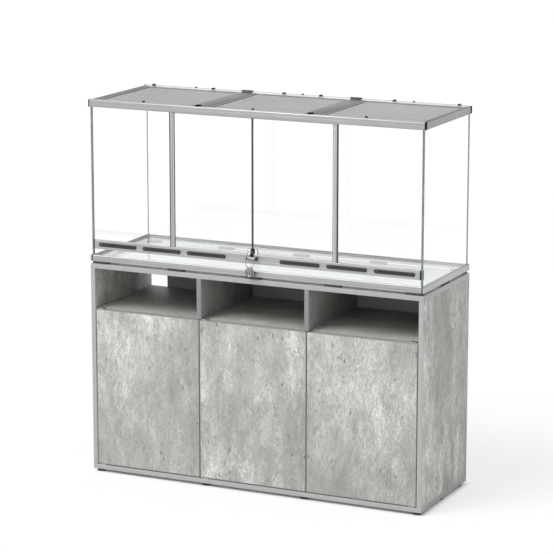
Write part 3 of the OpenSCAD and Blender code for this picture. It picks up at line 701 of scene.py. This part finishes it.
# A coated board: rounded edges, and a hairline joint round each broad face
def makeBoard(name, node, axis, finishes, body=fixedBody):
    board = addBlock(name, *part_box(node))
    roundEdges(board, boardShape["edgeRound"], 3, boardShape["sharp"])
    index = "xyz".index(axis)
    least = 0.5 * max(f.area for f in board.data.polygons if abs(f.normal[index]) > 0.99)

    def isBroad(part):
        area = part.calc_area() if hasattr(part, "calc_area") else part.area
        return abs(part.normal[index]) > 0.99 and area > least

    width, depth = boardShape["jointWidth"], boardShape["jointDepth"]
    for inwards, sink in ((boardShape["bandWidth"], 0), (width, -depth), (width, depth)):
        editPicked(board, "FACE", isBroad, lambda: bpy.ops.mesh.inset(
            thickness=inwards, depth=sink, use_individual=True))

    # The third finish, where there is one, is for what looks up: a paler copy, painted light
    def finishOf(part):
        broad = isBroad(part)
        if len(finishes) > 2 and part.normal.z > 0.99 and (broad or axis != "z"):
            return 2
        return not broad

    finishPiece(board, finishes, body, node, finishOf)


def makeCabinet():
    for side in bays:
        makeBoard(f"door_board_{side}", f"door_{side}", "y", (doorFoils[side], doorBand, doorTop),
                  f"cabinet_door_{side}")
    for side in ("left", "right"):
        makeBoard(f"side_board_{side}", f"side_panel_{side}", "x", (sideFoil, bandFoil))
    makeBoard("bottom_board", "bottom_panel", "z", (shelfFoil, bandFoil))
    makeBoard("top_board", "top_panel", "z", (shelfFoil, bandFoil, paintedLightTopFoil))
    # The dividers take the darker foils, painted shade in the niches
    inner = (("divider_boards", "dividers", "x", paintedShadeInnerFoil, paintedShadeInnerBand),
             ("shelf_boards", "niche_shelves", "z", shelfFoil, bandFoil))
    for name, node, axis, foil, band in inner:
        boards = copyNode(name, node, boardShape["innerRound"], angle=boardShape["sharp"])
        finishPiece(boards, (foil, band), fixedBody, node, facesAlong(axis))
    back = copyNode("back_board", "back_panel", boardShape["backRound"], segments=1,
                    angle=boardShape["sharp"])
    finishPiece(back, (backFoil,), fixedBody, "back_panel")
    print("Cabinet boards made")


makeCabinet()

refined = {
    # piece: (node, slot, finish, edge rounding in mm)
    "base_caps": ("corner_caps", "black_plastic", mattPlastic, 0.3),
    "front_posts": ("posts", "rail_aluminium", postAluminium, 0.3),
    "post_seals": ("post_gaskets", "seal_rubber", sealRubberAndShadeLip, 0.4),
    "top_caps": ("top_end_caps", "black_plastic", mattPlastic, 0.4),
    "hinge_blocks": ("lid_hinge_blocks", "black_plastic", mattPlastic, 0.5),
    "middle_seal": ("door_seal", "seal_rubber", sealRubberAndShadeLip, 0.3),
    "pivot_hardware": ("pivot_plates", "pivot_steel", pivotSteel, 0.2),
    "latch_boxes": ("push_latch_housings", "white_plastic", whitePlastic, 0.6),
    "latch_foot": ("latch_base", "latch_metal", latchMetal, 0.4),
    "grilles": ("vent_grilles", "grille_plastic", grillePlastic, 0.2),
    "glide_feet": ("feet", "black_plastic", blackPlastic, 1.0),
    "rubber_pads": ("support_pads", "black_plastic", padRubber, 1.0),
}


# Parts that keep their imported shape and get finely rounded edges
def makeRefined():
    for name, (node, slot, finish, edge) in refined.items():
        body = "tank_door_left" if name == "middle_seal" else fixedBody
        finishPiece(copyNode(name, node, edge * mm), (finish,), body, node)
    print("Posts, caps and fittings made")


makeRefined()

stile = {
    "edgeRound": 0.2 * mm,
    "lip": 1.2 * mm,  # width of the dark lip along the glass, painted shade
    "flat": 3.3 * mm,  # from the glass to where the paler round back, painted light, begins
}


# The hinge edge of each glass door, with a dark lip of painted shade along the glass and a round back
# paled with painted light
def makeStiles():
    for side, inward in (("left", 1), ("right", -1)):
        node = f"door_stile_{side}"
        low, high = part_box(node)
        edge = high.x if inward > 0 else low.x
        piece = copyNode(f"hinge_edge_{side}", node, stile["edgeRound"])
        for back in (stile["lip"], stile["flat"]):
            cutAcross(piece, (edge - inward * back, 0, 0), (1, 0, 0))

        def finishOf(face):
            back = (edge - face.center.x) * inward
            return 2 if back > stile["flat"] else back < stile["lip"]

        finishPiece(piece, (stilePlastic, sealRubberAndShadeLip, paintedLightStile),
                    f"tank_door_{side}", node, finishOf)


makeStiles()

baseRail = {
    "edgeRound": 0.5 * mm,
    "grooveWidth": 1.0 * mm,
    "grooveDepth": 0.6 * mm,
    "grooveHeights": (5.5 * mm, 15.0 * mm),  # above the rail's lower edge
    "grooveShort": 5 * mm,  # how far a groove ends before the rail does
}


# The base rails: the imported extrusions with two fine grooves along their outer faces
def makeBaseRails():
    rails = (
        ("front_base_rail", "base_rail_front", ("-y",), railAluminium),
        ("rear_base_rail", "base_rail_rear", ("+y",), railAluminium),
        ("end_base_rails", "base_side_rails", ("-x", "+x"), paintedLightSideRailAluminium),
    )
    short = baseRail["grooveShort"]
    for name, node, outer, finish in rails:
        low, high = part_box(node)
        rail = copyNode(name, node, baseRail["edgeRound"])
        for height in baseRail["grooveHeights"]:
            start = low + Vector((short, short, height))
            stop = Vector((high.x - short, high.y - short, start.z + baseRail["grooveWidth"]))
            for toward in outer:
                sinkGroove(rail, toward, start, stop, baseRail["grooveDepth"])
        # Faces that look up take the painted top-light tone
        finishPiece(rail, (finish, paintedTopLightAluminium), fixedBody, node,
                    lambda f: f.normal.z > 0.6)
    print("Base rails made")


makeBaseRails()

topRail = {
    "depth": 12 * mm,
    "frontRound": 5 * mm,
    "rearRound": 1.5 * mm,
    "ledgeUp": 14 * mm,  # ledge's upper face above the rail's lower edge
    "ledgeThick": 3 * mm,
    "lip": 2.5 * mm,  # how far the lower lip stands back
    "lipHeight": 3.0 * mm,
    "lipSlant": 0.6 * mm,
    "groove": 0.6 * mm,
    "grooveUp": 13.5 * mm,
    "rearShadeLine": 9 * mm,  # width of the darker strip along the rear rail's top, painted shade
    "edgeRound": 0.3 * mm,
}


# The top rail's outline as (depth from the outer face, height): a lip, a groove, a round
# top edge and the ledge that carries the lids
def topRailOutline(height, ledgeDepth, r):
    g, d = topRail["groove"], topRail["depth"]
    up, under = topRail["ledgeUp"], topRail["ledgeUp"] - topRail["ledgeThick"]
    lip, lipTop = topRail["lip"], topRail["lipHeight"]
    start = topRail["grooveUp"]
    outline = [(d, 0), (lip, 0), (lip, lipTop - topRail["lipSlant"]), (0, lipTop)]
    outline += [(0, start), (g, start + 0.4 * g), (g, start + 1.6 * g), (0, start + 2.0 * g)]
    outline += arcPoints((r, height - r), r, 180, 90)
    outline += [(topRail["rearShadeLine"], height), (d, height), (d, up)]
    return outline + [(ledgeDepth, up), (ledgeDepth, under), (d, under)]


def makeTopRails():
    # The front rail's up-facing faces take the painted top-light tone. The rear rail is the paler copy,
    # painted light, with a strip of painted shade along the rear of its top
    rails = (("front", railAluminium, paintedTopLightAluminium), ("rear", paintedLightAluminium, barAluminiumAndShadeStrip))
    for side, finish, above in rails:
        node = "top_rail_" + side
        low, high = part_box(node)
        outline = topRailOutline(high.z - low.z, high.y - low.y, topRail[side + "Round"])
        if side == "front":
            placed = [(low.y + d, low.z + h) for d, h in outline]
            limit = low.y
        else:
            placed = [(high.y - d, low.z + h) for d, h in outline]
            limit = high.y - topRail["rearShadeLine"]
        rail = sweepOutline(side + "_top_rail", placed, "x", low.x, high.x)
        roundEdges(rail, topRail["edgeRound"])
        finishPiece(rail, (finish, above), fixedBody, node,
                    lambda f: f.normal.z > 0.6 and f.center.y > limit)
    print("Top rails made")


makeTopRails()

endBar = {
    "width": 16 * mm,
    "round": 3 * mm,
    "side": (  # (inward, up) in mm: the outer side with its two ribs
        (0, 0), (0, 3), (0.9, 3.6), (0.9, 5.0), (0, 5.6), (0, 11.5), (0.9, 12.1), (0.9, 13.5),
        (0, 14.1), (0, 19.0)),
    "slot": ((6.5, 0), (6.5, 2.5), (9.5, 2.5), (9.5, 0)),  # (inward, down) in the top
    "edgeRound": 0.3 * mm,
}


# The ribbed bars over the end panes; their sides take a paler copy of the bars' tone, painted light
def makeEndBars():
    low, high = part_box("top_side_bars")
    height, r = high.z - low.z, endBar["round"]
    outline = [(x * mm, z * mm) for x, z in endBar["side"]]
    outline += arcPoints((r, height - r), r, 180, 90, 5)
    outline += [(x * mm, height - z * mm) for x, z in endBar["slot"]]
    outline += [(endBar["width"], height), (endBar["width"], 0)]
    bars = []
    for end, inward in ((low.x, 1), (high.x, -1)):
        placed = [(end + inward * x, low.z + z) for x, z in outline]
        bars.append(sweepOutline("bar", placed, "y", low.y, high.y))
    pair = joinAll("end_top_bars", bars)
    roundEdges(pair, endBar["edgeRound"])
    finishPiece(pair, (barAluminiumAndShadeStrip, paintedLightBarSides), fixedBody, "top_side_bars",
                lambda f: abs(f.normal.x) > 0.5)


crossBar = {
    "edgeRound": 0.6 * mm,
    "lidGap": 1.5 * mm,  # between a bar and the middle lid
    "narrower": 1 * mm,  # how far plates and clips stay inside the bar's side
    "plateRound": 0.4 * mm,
    "plateUp": 1.2 * mm,  # above the rear rail
    "plateReach": 10 * mm,  # over the rear rail
    "plateLeft": 4 * mm,  # past the bar's left side
    "plateShort": 11 * mm,  # how far it ends before the right side
    "riseDepth": 2 * mm,
    "clipRound": 0.5 * mm,
    "bandUp": 3 * mm,  # the black band behind the plate, above the rear rail
    "bandFront": 3.5 * mm,  # before the plate's rear edge
    "bandBehind": 1.5 * mm,  # and behind it
    "sideBand": 2.5 * mm,  # width of the black band along the plate's right edge
    "sideBandUp": 2.4 * mm,
    "wingHalf": 8 * mm,  # the black clip on the front rail, and its part between the lids
    "wingFront": 0.5 * mm,  # behind the front stops' front
    "wingBack": 6.5 * mm,
    "wingUp": 3 * mm,
    "clipDown": 3.5 * mm,  # below the rail's top
    "clipUp": 3.6 * mm,
    "clipBack": 12 * mm,
    "shadeStripBack": 4 * mm,  # the black strip across the bar's front end, painted shade of the gap before the rail
    "sunk": 0.4 * mm,  # how far parts reach into the rails
    "held": 1 * mm,  # and the plates into the bar
}


# The two bars between the lids: their imported shape with a plate over the rear rail,
# black clips round the plate and on the front rail, and a black strip of painted shade across each bar's
# front end
def makeCrossBars():
    plates = [copyNode("crossing_bars", "cross_bars", crossBar["edgeRound"])]
    low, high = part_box("cross_bars")
    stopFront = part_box("rail_buttons")[0].y
    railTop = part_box("top_rail_rear")[1].z
    width = high.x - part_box("lid_mid")[1].x - crossBar["lidGap"]
    sunk, held, reach = crossBar["sunk"], crossBar["held"], width / 2 - crossBar["narrower"]
    wing, bottom = crossBar["wingHalf"], railTop - crossBar["clipDown"]
    front, rear = low.y + sunk, high.y + crossBar["plateReach"]
    plateTop = railTop + crossBar["plateUp"]
    clips = []
    for side in (-1, 1):
        x = side * (high.x - width / 2)
        left, right = x - reach - crossBar["plateLeft"], x + reach - crossBar["plateShort"]
        plates += addBlocks("plate", (
            ((left, high.y - held, railTop - sunk), (right, rear, plateTop)),
            ((x - reach, high.y - crossBar["riseDepth"], high.z - held),
             (right, high.y - sunk / 2, plateTop)),
        ), crossBar["plateRound"])
        clips += addBlocks("clip", (
            ((left, rear - crossBar["bandFront"], railTop),
             (right, rear + crossBar["bandBehind"], railTop + crossBar["bandUp"])),
            ((right - crossBar["sideBand"], high.y - held, railTop - sunk),
             (right, rear, railTop + crossBar["sideBandUp"])),
            ((x - wing, stopFront + crossBar["wingFront"], railTop - sunk / 2),
             (x + wing, stopFront + crossBar["wingBack"], railTop + crossBar["wingUp"])),
            # A black strip across the bar's front end: painted shade
            ((x - reach, front, bottom), (x + reach, low.y + crossBar["shadeStripBack"], railTop + sunk)),
            ((x - wing, front, bottom),
             (x + wing, low.y + crossBar["clipBack"], railTop + crossBar["clipUp"])),
        ), crossBar["clipRound"])
    bars = joinAll("crossing_bars", plates)
    finishPiece(bars, (barAluminiumAndShadeStrip,), fixedBody, "cross_bars")
    finishPiece(joinAll("bar_clips_and_shade_strips", clips), (mattPlastic,))


makeEndBars()
makeCrossBars()
print("Top bars made")

ventStrip = {
    "edgeRound": 0.3 * mm,
    "topRound": 1.6 * mm,
    "topReach": 3 * mm,  # within this of the upper front edge an edge is rounded
    "paintedLightHeight": 4 * mm,
    "plateWidth": 11 * mm,
    "plateProud": 0.6 * mm,
    "plateSunk": 1 * mm,
    "plateFromFoot": 4 * mm,
    "plateFromTop": 5 * mm,
    "plateRound": 0.5 * mm,
}


# The vent strip with a rounded upper edge, and a small plate at each end. Its upper faces near the top
# take the paler aluminium, a painted highlight
def makeVentStrip():
    low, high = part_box("vent_strip")
    strip = copyNode("sill_strip", "vent_strip")
    reach = ventStrip["topReach"]

    def isTopFront(edge):
        places = [v.co for v in edge.verts]
        return edgeAlong(edge, "x") and all(
            p.z > high.z - reach and p.y < low.y + reach for p in places)

    bevelPicked(strip, isTopFront, ventStrip["topRound"], segments=4)
    roundEdges(strip, ventStrip["edgeRound"])
    parts = [strip]
    grilleLow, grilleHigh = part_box("vent_grilles")
    half = ventStrip["plateWidth"] / 2
    for end, inner in ((low.x, grilleLow.x), (high.x, grilleHigh.x)):
        x, front = (end + inner) / 2, low.y - ventStrip["plateProud"]
        parts += addBlocks("plate", (
            ((x - half, front, low.z + ventStrip["plateFromFoot"]),
             (x + half, low.y + ventStrip["plateSunk"], high.z - ventStrip["plateFromTop"])),
        ), ventStrip["plateRound"])
    strip = joinAll("sill_strip", parts)
    limit = high.z - ventStrip["paintedLightHeight"]
    finishPiece(strip, (railAluminium, paintedLightAluminium), fixedBody, "vent_strip",
                lambda f: f.normal.z > 0.35 and f.center.z > limit)


makeVentStrip()

shutter = {
    "count": 6,
    "plateRound": 0.2 * mm,
    "knobFromRight": 6 * mm,  # the knob's middle from the shutter's right end
    "knob": (  # (radius, height) in mm: a disc with a dished face
        (0, -0.6), (5.6, -0.6), (5.6, 0), (5.1, 0.6), (3.9, 0.6), (3.4, 0.1), (0, 0.1)),
}


def inMetres(pairs):
    return [(a * mm, b * mm) for a, b in pairs]


# Each vent shutter keeps its imported plate and gets a dished knob
def makeShutters():
    for i in range(shutter["count"]):
        node = f"vent_shutter_{i + 1}"
        low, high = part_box(node)
        plate = copyNode(node + "_plate", node, shutter["plateRound"])
        place = (high.x - shutter["knobFromRight"], low.y, (low.z + high.z) / 2)
        knob = turnOutline("knob", inMetres(shutter["knob"]), place, "y")
        piece = joinAll(f"shutter_{i + 1}", [plate, knob])
        finishPiece(piece, (knobPlastic,), f"shutter_{i + 1}", node)
    print("Vents made")


makeShutters()

paneEdgeRound = 0.6 * mm
paneSharp = 30  # degrees; edges blunter than this stay unground
panes = (  # each with the axis across it
    ("bottom", "z"), ("back_pane", "y"), ("left", "x"), ("right", "x"), ("sill", "y"),
    ("fixed_left", "y"), ("fixed_right", "y"), ("door_left", "y"), ("door_right", "y"))


# The panes keep flat faces and a ground bevel
def makePanes():
    for name, axis in panes:
        body = "tank_" + name if "door" in name else fixedBody
        pane = copyNode("pane_" + name, "glass_" + name, paneEdgeRound, segments=1,
                        angle=paneSharp)
        finishPiece(pane, (paneGlass, paneEdge), body, "glass_" + name,
                    facesAlong(axis), smooth=False)
    print("Panes made")


makePanes()

seams = {
    "leg": 1.8 * mm,
    "hollow": 0.8 * mm,
}


# Silicone beads in the corners where panes meet
def makeSeams():
    leftX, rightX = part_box("glass_left")[1].x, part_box("glass_right")[0].x
    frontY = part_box("glass_fixed_left")[1].y
    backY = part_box("glass_back_pane")[0].y
    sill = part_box("glass_sill")[1]
    floorZ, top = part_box("glass_bottom")[1].z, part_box("glass_left")[1].z
    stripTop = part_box("vent_strip")[1].z
    leg, hollow = seams["leg"], seams["hollow"]
    wedge = ((0, 0), (leg, 0), (hollow, hollow), (0, leg))
    beads = []

    def bead(along, a, aSign, b, bSign, start, stop):
        outline = [(a + aSign * u, b + bSign * v) for u, v in wedge]
        beads.append(sweepOutline("bead", outline, along, start, stop))

    for x, xSign in ((leftX, 1), (rightX, -1)):
        bead("z", x, xSign, frontY, 1, stripTop, top)
        bead("z", x, xSign, sill.y, 1, floorZ, sill.z)
        bead("z", x, xSign, backY, -1, floorZ, top)
        bead("y", x, xSign, floorZ, 1, sill.y, backY)
    for y, ySign in ((sill.y, 1), (backY, -1)):
        bead("x", y, ySign, floorZ, 1, leftX, rightX)
    finishPiece(joinAll("silicone_seams", beads), (seamSilicone,))
    print("Seams made")


makeSeams()

lidShape = {
    "thickness": 7 * mm,
    "rim": 9 * mm,
    "rimRound": 0.6 * mm,
    "sheetUp": 3.5 * mm,  # the mesh's middle above the lid's underside
    "wirePitch": 2.0 * mm,
    "wireDiameter": 0.6 * mm,
    "wireSides": 6,
    "layerApart": 0.45,  # of each layer from the mesh's middle, in wire diameters
    "wireHeld": 1 * mm,  # how far the wires reach into the rim
    "padHalf": 13 * mm,
    "padDepth": 20 * mm,
    "padHeld": 1 * mm,
    "padLower": 0.3 * mm,  # under the rim's faces
    "padRound": 2.5 * mm,
    "hingeRadius": 2.2 * mm,
    "lugWidth": 2.7 * mm,
    "lugHeld": 0.5 * mm,
    "lugRound": 0.35 * mm,
    "lugFromHinge": 4.65 * mm,
    "hingeFromEnd": 22 * mm,
    "hingeFromCross": 106 * mm,
}


# A flat frame: a plane, its middle cut out, then extruded upwards
def ringPlate(name, low, high, rim):
    clearSelection()
    middle = Vector(((low[0] + high[0]) / 2, (low[1] + high[1]) / 2, low[2]))
    bpy.ops.mesh.primitive_plane_add(size=1, location=middle)
    ring = bpy.context.object
    ring.name = name
    ring.scale = (high[0] - low[0], high[1] - low[1], 1)
    settle(ring)
    editWhole(ring, lambda: bpy.ops.mesh.inset(thickness=rim))
    editPicked(ring, "FACE", lambda f: (f.calc_center_median() - middle).length < rim,
               lambda: bpy.ops.mesh.delete(type="FACE"))
    editWhole(ring, lambda: extrudeBy((0, 0, high[2] - low[2])), turnOutwards)
    return ring


# Straight crossing wires that fill a rectangle, one layer on the other
def crossWires(name, low, high, z):
    pitch, size = lidShape["wirePitch"], lidShape["wireDiameter"]
    middle = ((low[0] + high[0]) / 2, (low[1] + high[1]) / 2)
    spans = (high[0] - low[0], high[1] - low[1])
    apart = lidShape["layerApart"] * size
    layers = []
    for along, across, up in (("x", 1, apart), ("y", 0, -apart)):
        count = int(spans[across] / pitch)
        place = [*middle, z + up]
        place[across] -= pitch * (count - 1) / 2
        wire = addRound("wire", place, size / 2, spans[1 - across], along, lidShape["wireSides"])
        layers.append(repeatAlong(wire, "xy"[across], pitch, count))
    return joinAll(name, layers)


# An arm from the lid's rear edge round its hinge axis
def hingeLug(x, lidTop, axisY, axisZ):
    r, half = lidShape["hingeRadius"], lidShape["lugWidth"] / 2
    foot = lidTop - lidShape["lugHeld"]
    outline = [(axisY - r, foot), *arcPoints((axisY, axisZ), r, 180, -90, 14), (axisY, foot)]
    lug = sweepOutline("lug", outline, "x", x - half, x + half)
    roundEdges(lug, lidShape["lugRound"])
    cutAcross(lug, (0, 0, axisZ - r), (0, 0, 1))
    return lug


def makeLids():
    rim, r = lidShape["rim"], lidShape["hingeRadius"]
    padHalf, padLower = lidShape["padHalf"], lidShape["padLower"]
    near, far = lidShape["hingeFromCross"], lidShape["hingeFromEnd"]
    for side in bays:
        node, body = f"lid_{side}", f"lid_{side}_body"
        low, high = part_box(node)
        top = low.z + lidShape["thickness"]
        axisY, axisZ = high.y - r, high.z - r
        ring = ringPlate("ring", low, (high.x, axisY, top), rim)
        knobLow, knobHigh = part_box(f"lid_knob_{side}")
        middle = (knobLow.x + knobHigh.x) / 2
        pad = addBlock("pad", (middle - padHalf, low.y + rim - lidShape["padHeld"], low.z + padLower),
                       (middle + padHalf, low.y + lidShape["padDepth"], top - padLower))
        bevelPicked(pad, lambda e: edgeAlong(e, "z"), lidShape["padRound"], segments=5)
        for part in (ring, pad):
            roundEdges(part, lidShape["rimRound"])
        lid = joinAll(f"lid_frame_{side}", [ring, pad])
        finishPiece(lid, (lidAluminium,), body, node)

        inside = rim - lidShape["wireHeld"]
        wires = crossWires(f"lid_wires_{side}", (low.x + inside, low.y + inside),
                           (high.x - inside, axisY - inside), low.z + lidShape["sheetUp"])
        finishPiece(wires, (meshWire,), body)

        hinges = (low.x + (far if side == "left" else near), high.x - (far if side == "right" else near))
        lugs = [hingeLug(x + s * lidShape["lugFromHinge"], top, axisY, axisZ)
                for x in hinges for s in (-1, 1)]
        # Below the barrel the lugs take the paler aluminium, painted light
        finishPiece(joinAll(f"lid_lugs_{side}", lugs), (mattPlastic, paintedLightAluminium),
                    body, test=lambda f: f.center.z < axisZ - r)
    print("Lids made")


makeLids()

turned = {
    # (radius, height) pairs in mm
    "knob": ((0, 0), (3, 0), (3, 1.4), (4.5, 2.5), (4.5, 6.2), (3.9, 7), (2.2, 7), (1.8, 6.3), (0, 6.3)),
    "stop": ((0, 0), (3.5, 0), (3.5, 3.2), (2.8, 4), (1.5, 4), (1.2, 3.3), (0, 3.3)),
    "plunger": ((0, 0), (3.5, 0), (3.5, 23.5), (4, 24.2), (4, 28.4), (2.6, 30), (0, 30)),
}
stops = {
    "radius": 3.5 * mm,
    "rear": (0, 1, 2, 3, 4),  # which of the five places have a stop on each rail
    "front": (1, 3),
}


def makeTurnedParts():
    for side in bays:
        low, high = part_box(f"lid_knob_{side}")
        place = (*((low + high) / 2).xy, low.z)
        knob = turnOutline(f"finger_knob_{side}", inMetres(turned["knob"]), place)
        finishPiece(knob, (mattPlastic,), f"lid_{side}_body", f"lid_knob_{side}")
        low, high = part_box(f"plunger_{side}")
        middle = (low + high) / 2
        rod = turnOutline(f"plunger_rod_{side}", inMetres(turned["plunger"]),
                          (middle.x, high.y, middle.z), "y")
        finishPiece(rod, (whitePlastic,), f"push_plunger_{side}", f"plunger_{side}")
    low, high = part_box("rail_buttons")
    radius = stops["radius"]
    step = (high.x - low.x - 2 * radius) / (len(stops["rear"]) - 1)
    places = [(i, high.y - radius) for i in stops["rear"]] + [(i, low.y + radius) for i in stops["front"]]
    made = [turnOutline("stop", inMetres(turned["stop"]), (low.x + radius + i * step, y, low.z))
            for i, y in places]
    finishPiece(joinAll("round_stops", made), (mattPlastic,), fixedBody,
                "rail_buttons")
    print("Knobs, stops and plungers made")


makeTurnedParts()

lever = {
    "half": 16 * mm,
    "height": 29 * mm,
    "thick": 8 * mm,
    "sides": 64,
    "edgeRound": 0.7 * mm,
    "rim": 2.2 * mm,
    "rimSlant": 1.2 * mm,
    "dish": 2.2 * mm,
    "ribs": (-7.5 * mm, 0, 7.5 * mm),
    "ribHalf": 1.5 * mm,
    "ribReach": 9.5 * mm,
    "ribProud": 1 * mm,
    "ribRound": 1.2 * mm,
    "footHalf": 10.5 * mm,  # the bar at the foot, which holds the pivot
    "headHalf": 8 * mm,
    "barRadius": 3 * mm,
    "barRound": 0.5 * mm,
    "blockRound": 0.6 * mm,
    "footUp": 3.5 * mm,  # the lever's pivot above its lower edge
    "footBack": 14 * mm,  # and behind the front of its ribs
    "headBack": 4 * mm,
    "headFrom": 4 * mm,  # the head's block begins this far above the lever's middle
    "held": 2 * mm,  # how far the foot's block reaches into the body
    "largeFace": 100 * mm * mm,  # more than this is the oval's front
}


# The oval lever: a dished body with a rim, three ribs, a bar at its foot and one at its head
def makeLever():
    low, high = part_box("latch_lever")
    front = low.y + lever["ribProud"]
    thick, r = lever["thick"], lever["barRadius"]
    foot, head = lever["footHalf"], lever["headHalf"]
    middleZ = low.z + lever["height"] / 2
    body = addRound("lever", (0, 0, 0), 1, thick, "y", lever["sides"])
    body.scale = (lever["half"], 1, lever["height"] / 2)
    body.location = (0, front + thick / 2, middleZ)
    settle(body)

    # The oval's large front face, and not the narrow ones that an inset leaves round it
    def isFront(face):
        return face.normal.y < -0.9 and face.calc_area() > lever["largeFace"]

    for inwards, sink in ((lever["rim"], 0), (lever["rimSlant"], -lever["dish"])):
        editPicked(body, "FACE", isFront, lambda: bpy.ops.mesh.inset(thickness=inwards, depth=sink))
    roundEdges(body, lever["edgeRound"], segments=3)
    ribs = [((x - lever["ribHalf"], low.y, middleZ - lever["ribReach"]),
             (x + lever["ribHalf"], front + thick / 2, middleZ + lever["ribReach"]))
            for x in lever["ribs"]]
    parts = [body, *addBlocks("rib", ribs, lever["ribRound"], segments=4)]
    footY, footZ = low.y + lever["footBack"], low.z + lever["footUp"]
    headY, headZ = low.y + lever["headBack"], high.z - r
    for half, y, z in ((foot, footY, footZ), (head, headY, headZ)):
        bar = addRound("bar", (0, y, z), r, 2 * half, "x")
        roundEdges(bar, lever["barRound"])
        parts.append(bar)
    parts += addBlocks("block", (
        ((-head, headY - r, middleZ + lever["headFrom"]), (head, headY + r, headZ)),
        ((-foot, front + thick - lever["held"], footZ - r), (foot, footY, footZ + r)),
    ), lever["blockRound"])
    finishPiece(joinAll("lever", parts), (latchMetal,), "latch_lever_body",
                "latch_lever")
    return headY, headZ


bail = {
    "widest": 15.5 * mm,
    "widestUp": 22 * mm,
    "sideRadius": 45 * mm,
    "topRadius": 8 * mm,
    "wire": 2.2 * mm,
    "pivotHalf": 3 * mm,
    "lean": 12,  # degrees
}


# The wire bail in its own upright plane, then leant back about its pivot
def makeBail(pivotY, pivotZ):
    side, top, wide = bail["sideRadius"], bail["topRadius"], bail["widestUp"]
    sideX = bail["widest"] - side
    topZ = wide + ((side - top) ** 2 - sideX ** 2) ** 0.5
    lowTurn = -degrees(asin(wide / side))
    highTurn = degrees(atan2(topZ - wide, -sideX))
    half = [(bail["pivotHalf"], 0)]
    half += arcPoints((sideX, wide), side, lowTurn, highTurn, 16)
    half += arcPoints((0, topZ), top, highTurn, 90, 6)[1:]
    flat = half + [(-x, z) for x, z in reversed(half[:-1])]
    lean = radians(bail["lean"])
    path = [(x, pivotY + z * sin(lean), pivotZ + z * cos(lean)) for x, z in flat]
    wire = bendWire("bail", path, bail["wire"])
    finishPiece(wire, (latchWire,), "latch_bail_body", "latch_bail")


catch = {
    "edgeRound": 0.3 * mm,
    "barrelRadius": 5.5 * mm,
    "barrelUp": 8 * mm,  # the barrel's middle above the catch's lower edge
    "stopHalf": 8 * mm,  # half width of the stop's black middle
    "endLength": 5 * mm,
    "endProud": 0.15 * mm,
    "endOut": 0.1 * mm,
    "endRound": 0.5 * mm,
    "endSides": 40,
}


# The catch on the vent strip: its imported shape, with black ends on the barrel
def makeCatch():
    low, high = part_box("latch_catch")
    body = copyNode("latch_barrel", "latch_catch", catch["edgeRound"])
    radius, half = catch["barrelRadius"], catch["stopHalf"]
    middle = (low.y + radius, low.z + catch["barrelUp"])
    barrelTop = middle[1] + radius
    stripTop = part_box("vent_strip")[1].z
    for z in (barrelTop, stripTop):
        cutAcross(body, (0, 0, z), (0, 0, 1))
    for x in (-half, half):
        cutAcross(body, (x, 0, 0), (1, 0, 0))

    # Beside the black middle, faces take the rail aluminium up to the strip's top and the paler copy, a
    # painted highlight, above it
    def finishOf(face):
        across, up = abs(face.center.x), face.center.z
        if up <= barrelTop or across == half:
            return 0
        if across < half:
            return 1
        return 3 if up > stripTop else 2

    finishPiece(body, (catchMetal, mattPlastic, railAluminium, paintedLightAluminium),
                fixedBody, "latch_catch", finishOf)
    reach = catch["endLength"]
    ends = []
    for side in (-1, 1):
        x = side * (high.x - reach / 2 + catch["endOut"])
        end = addRound("end", (x, *middle), radius + catch["endProud"], reach, "x", catch["endSides"])
        roundEdges(end, catch["endRound"])
        ends.append(end)
    finishPiece(joinAll("barrel_ends", ends), (blackPlastic,))


makeBail(*makeLever())
makeCatch()
print("Latch made")
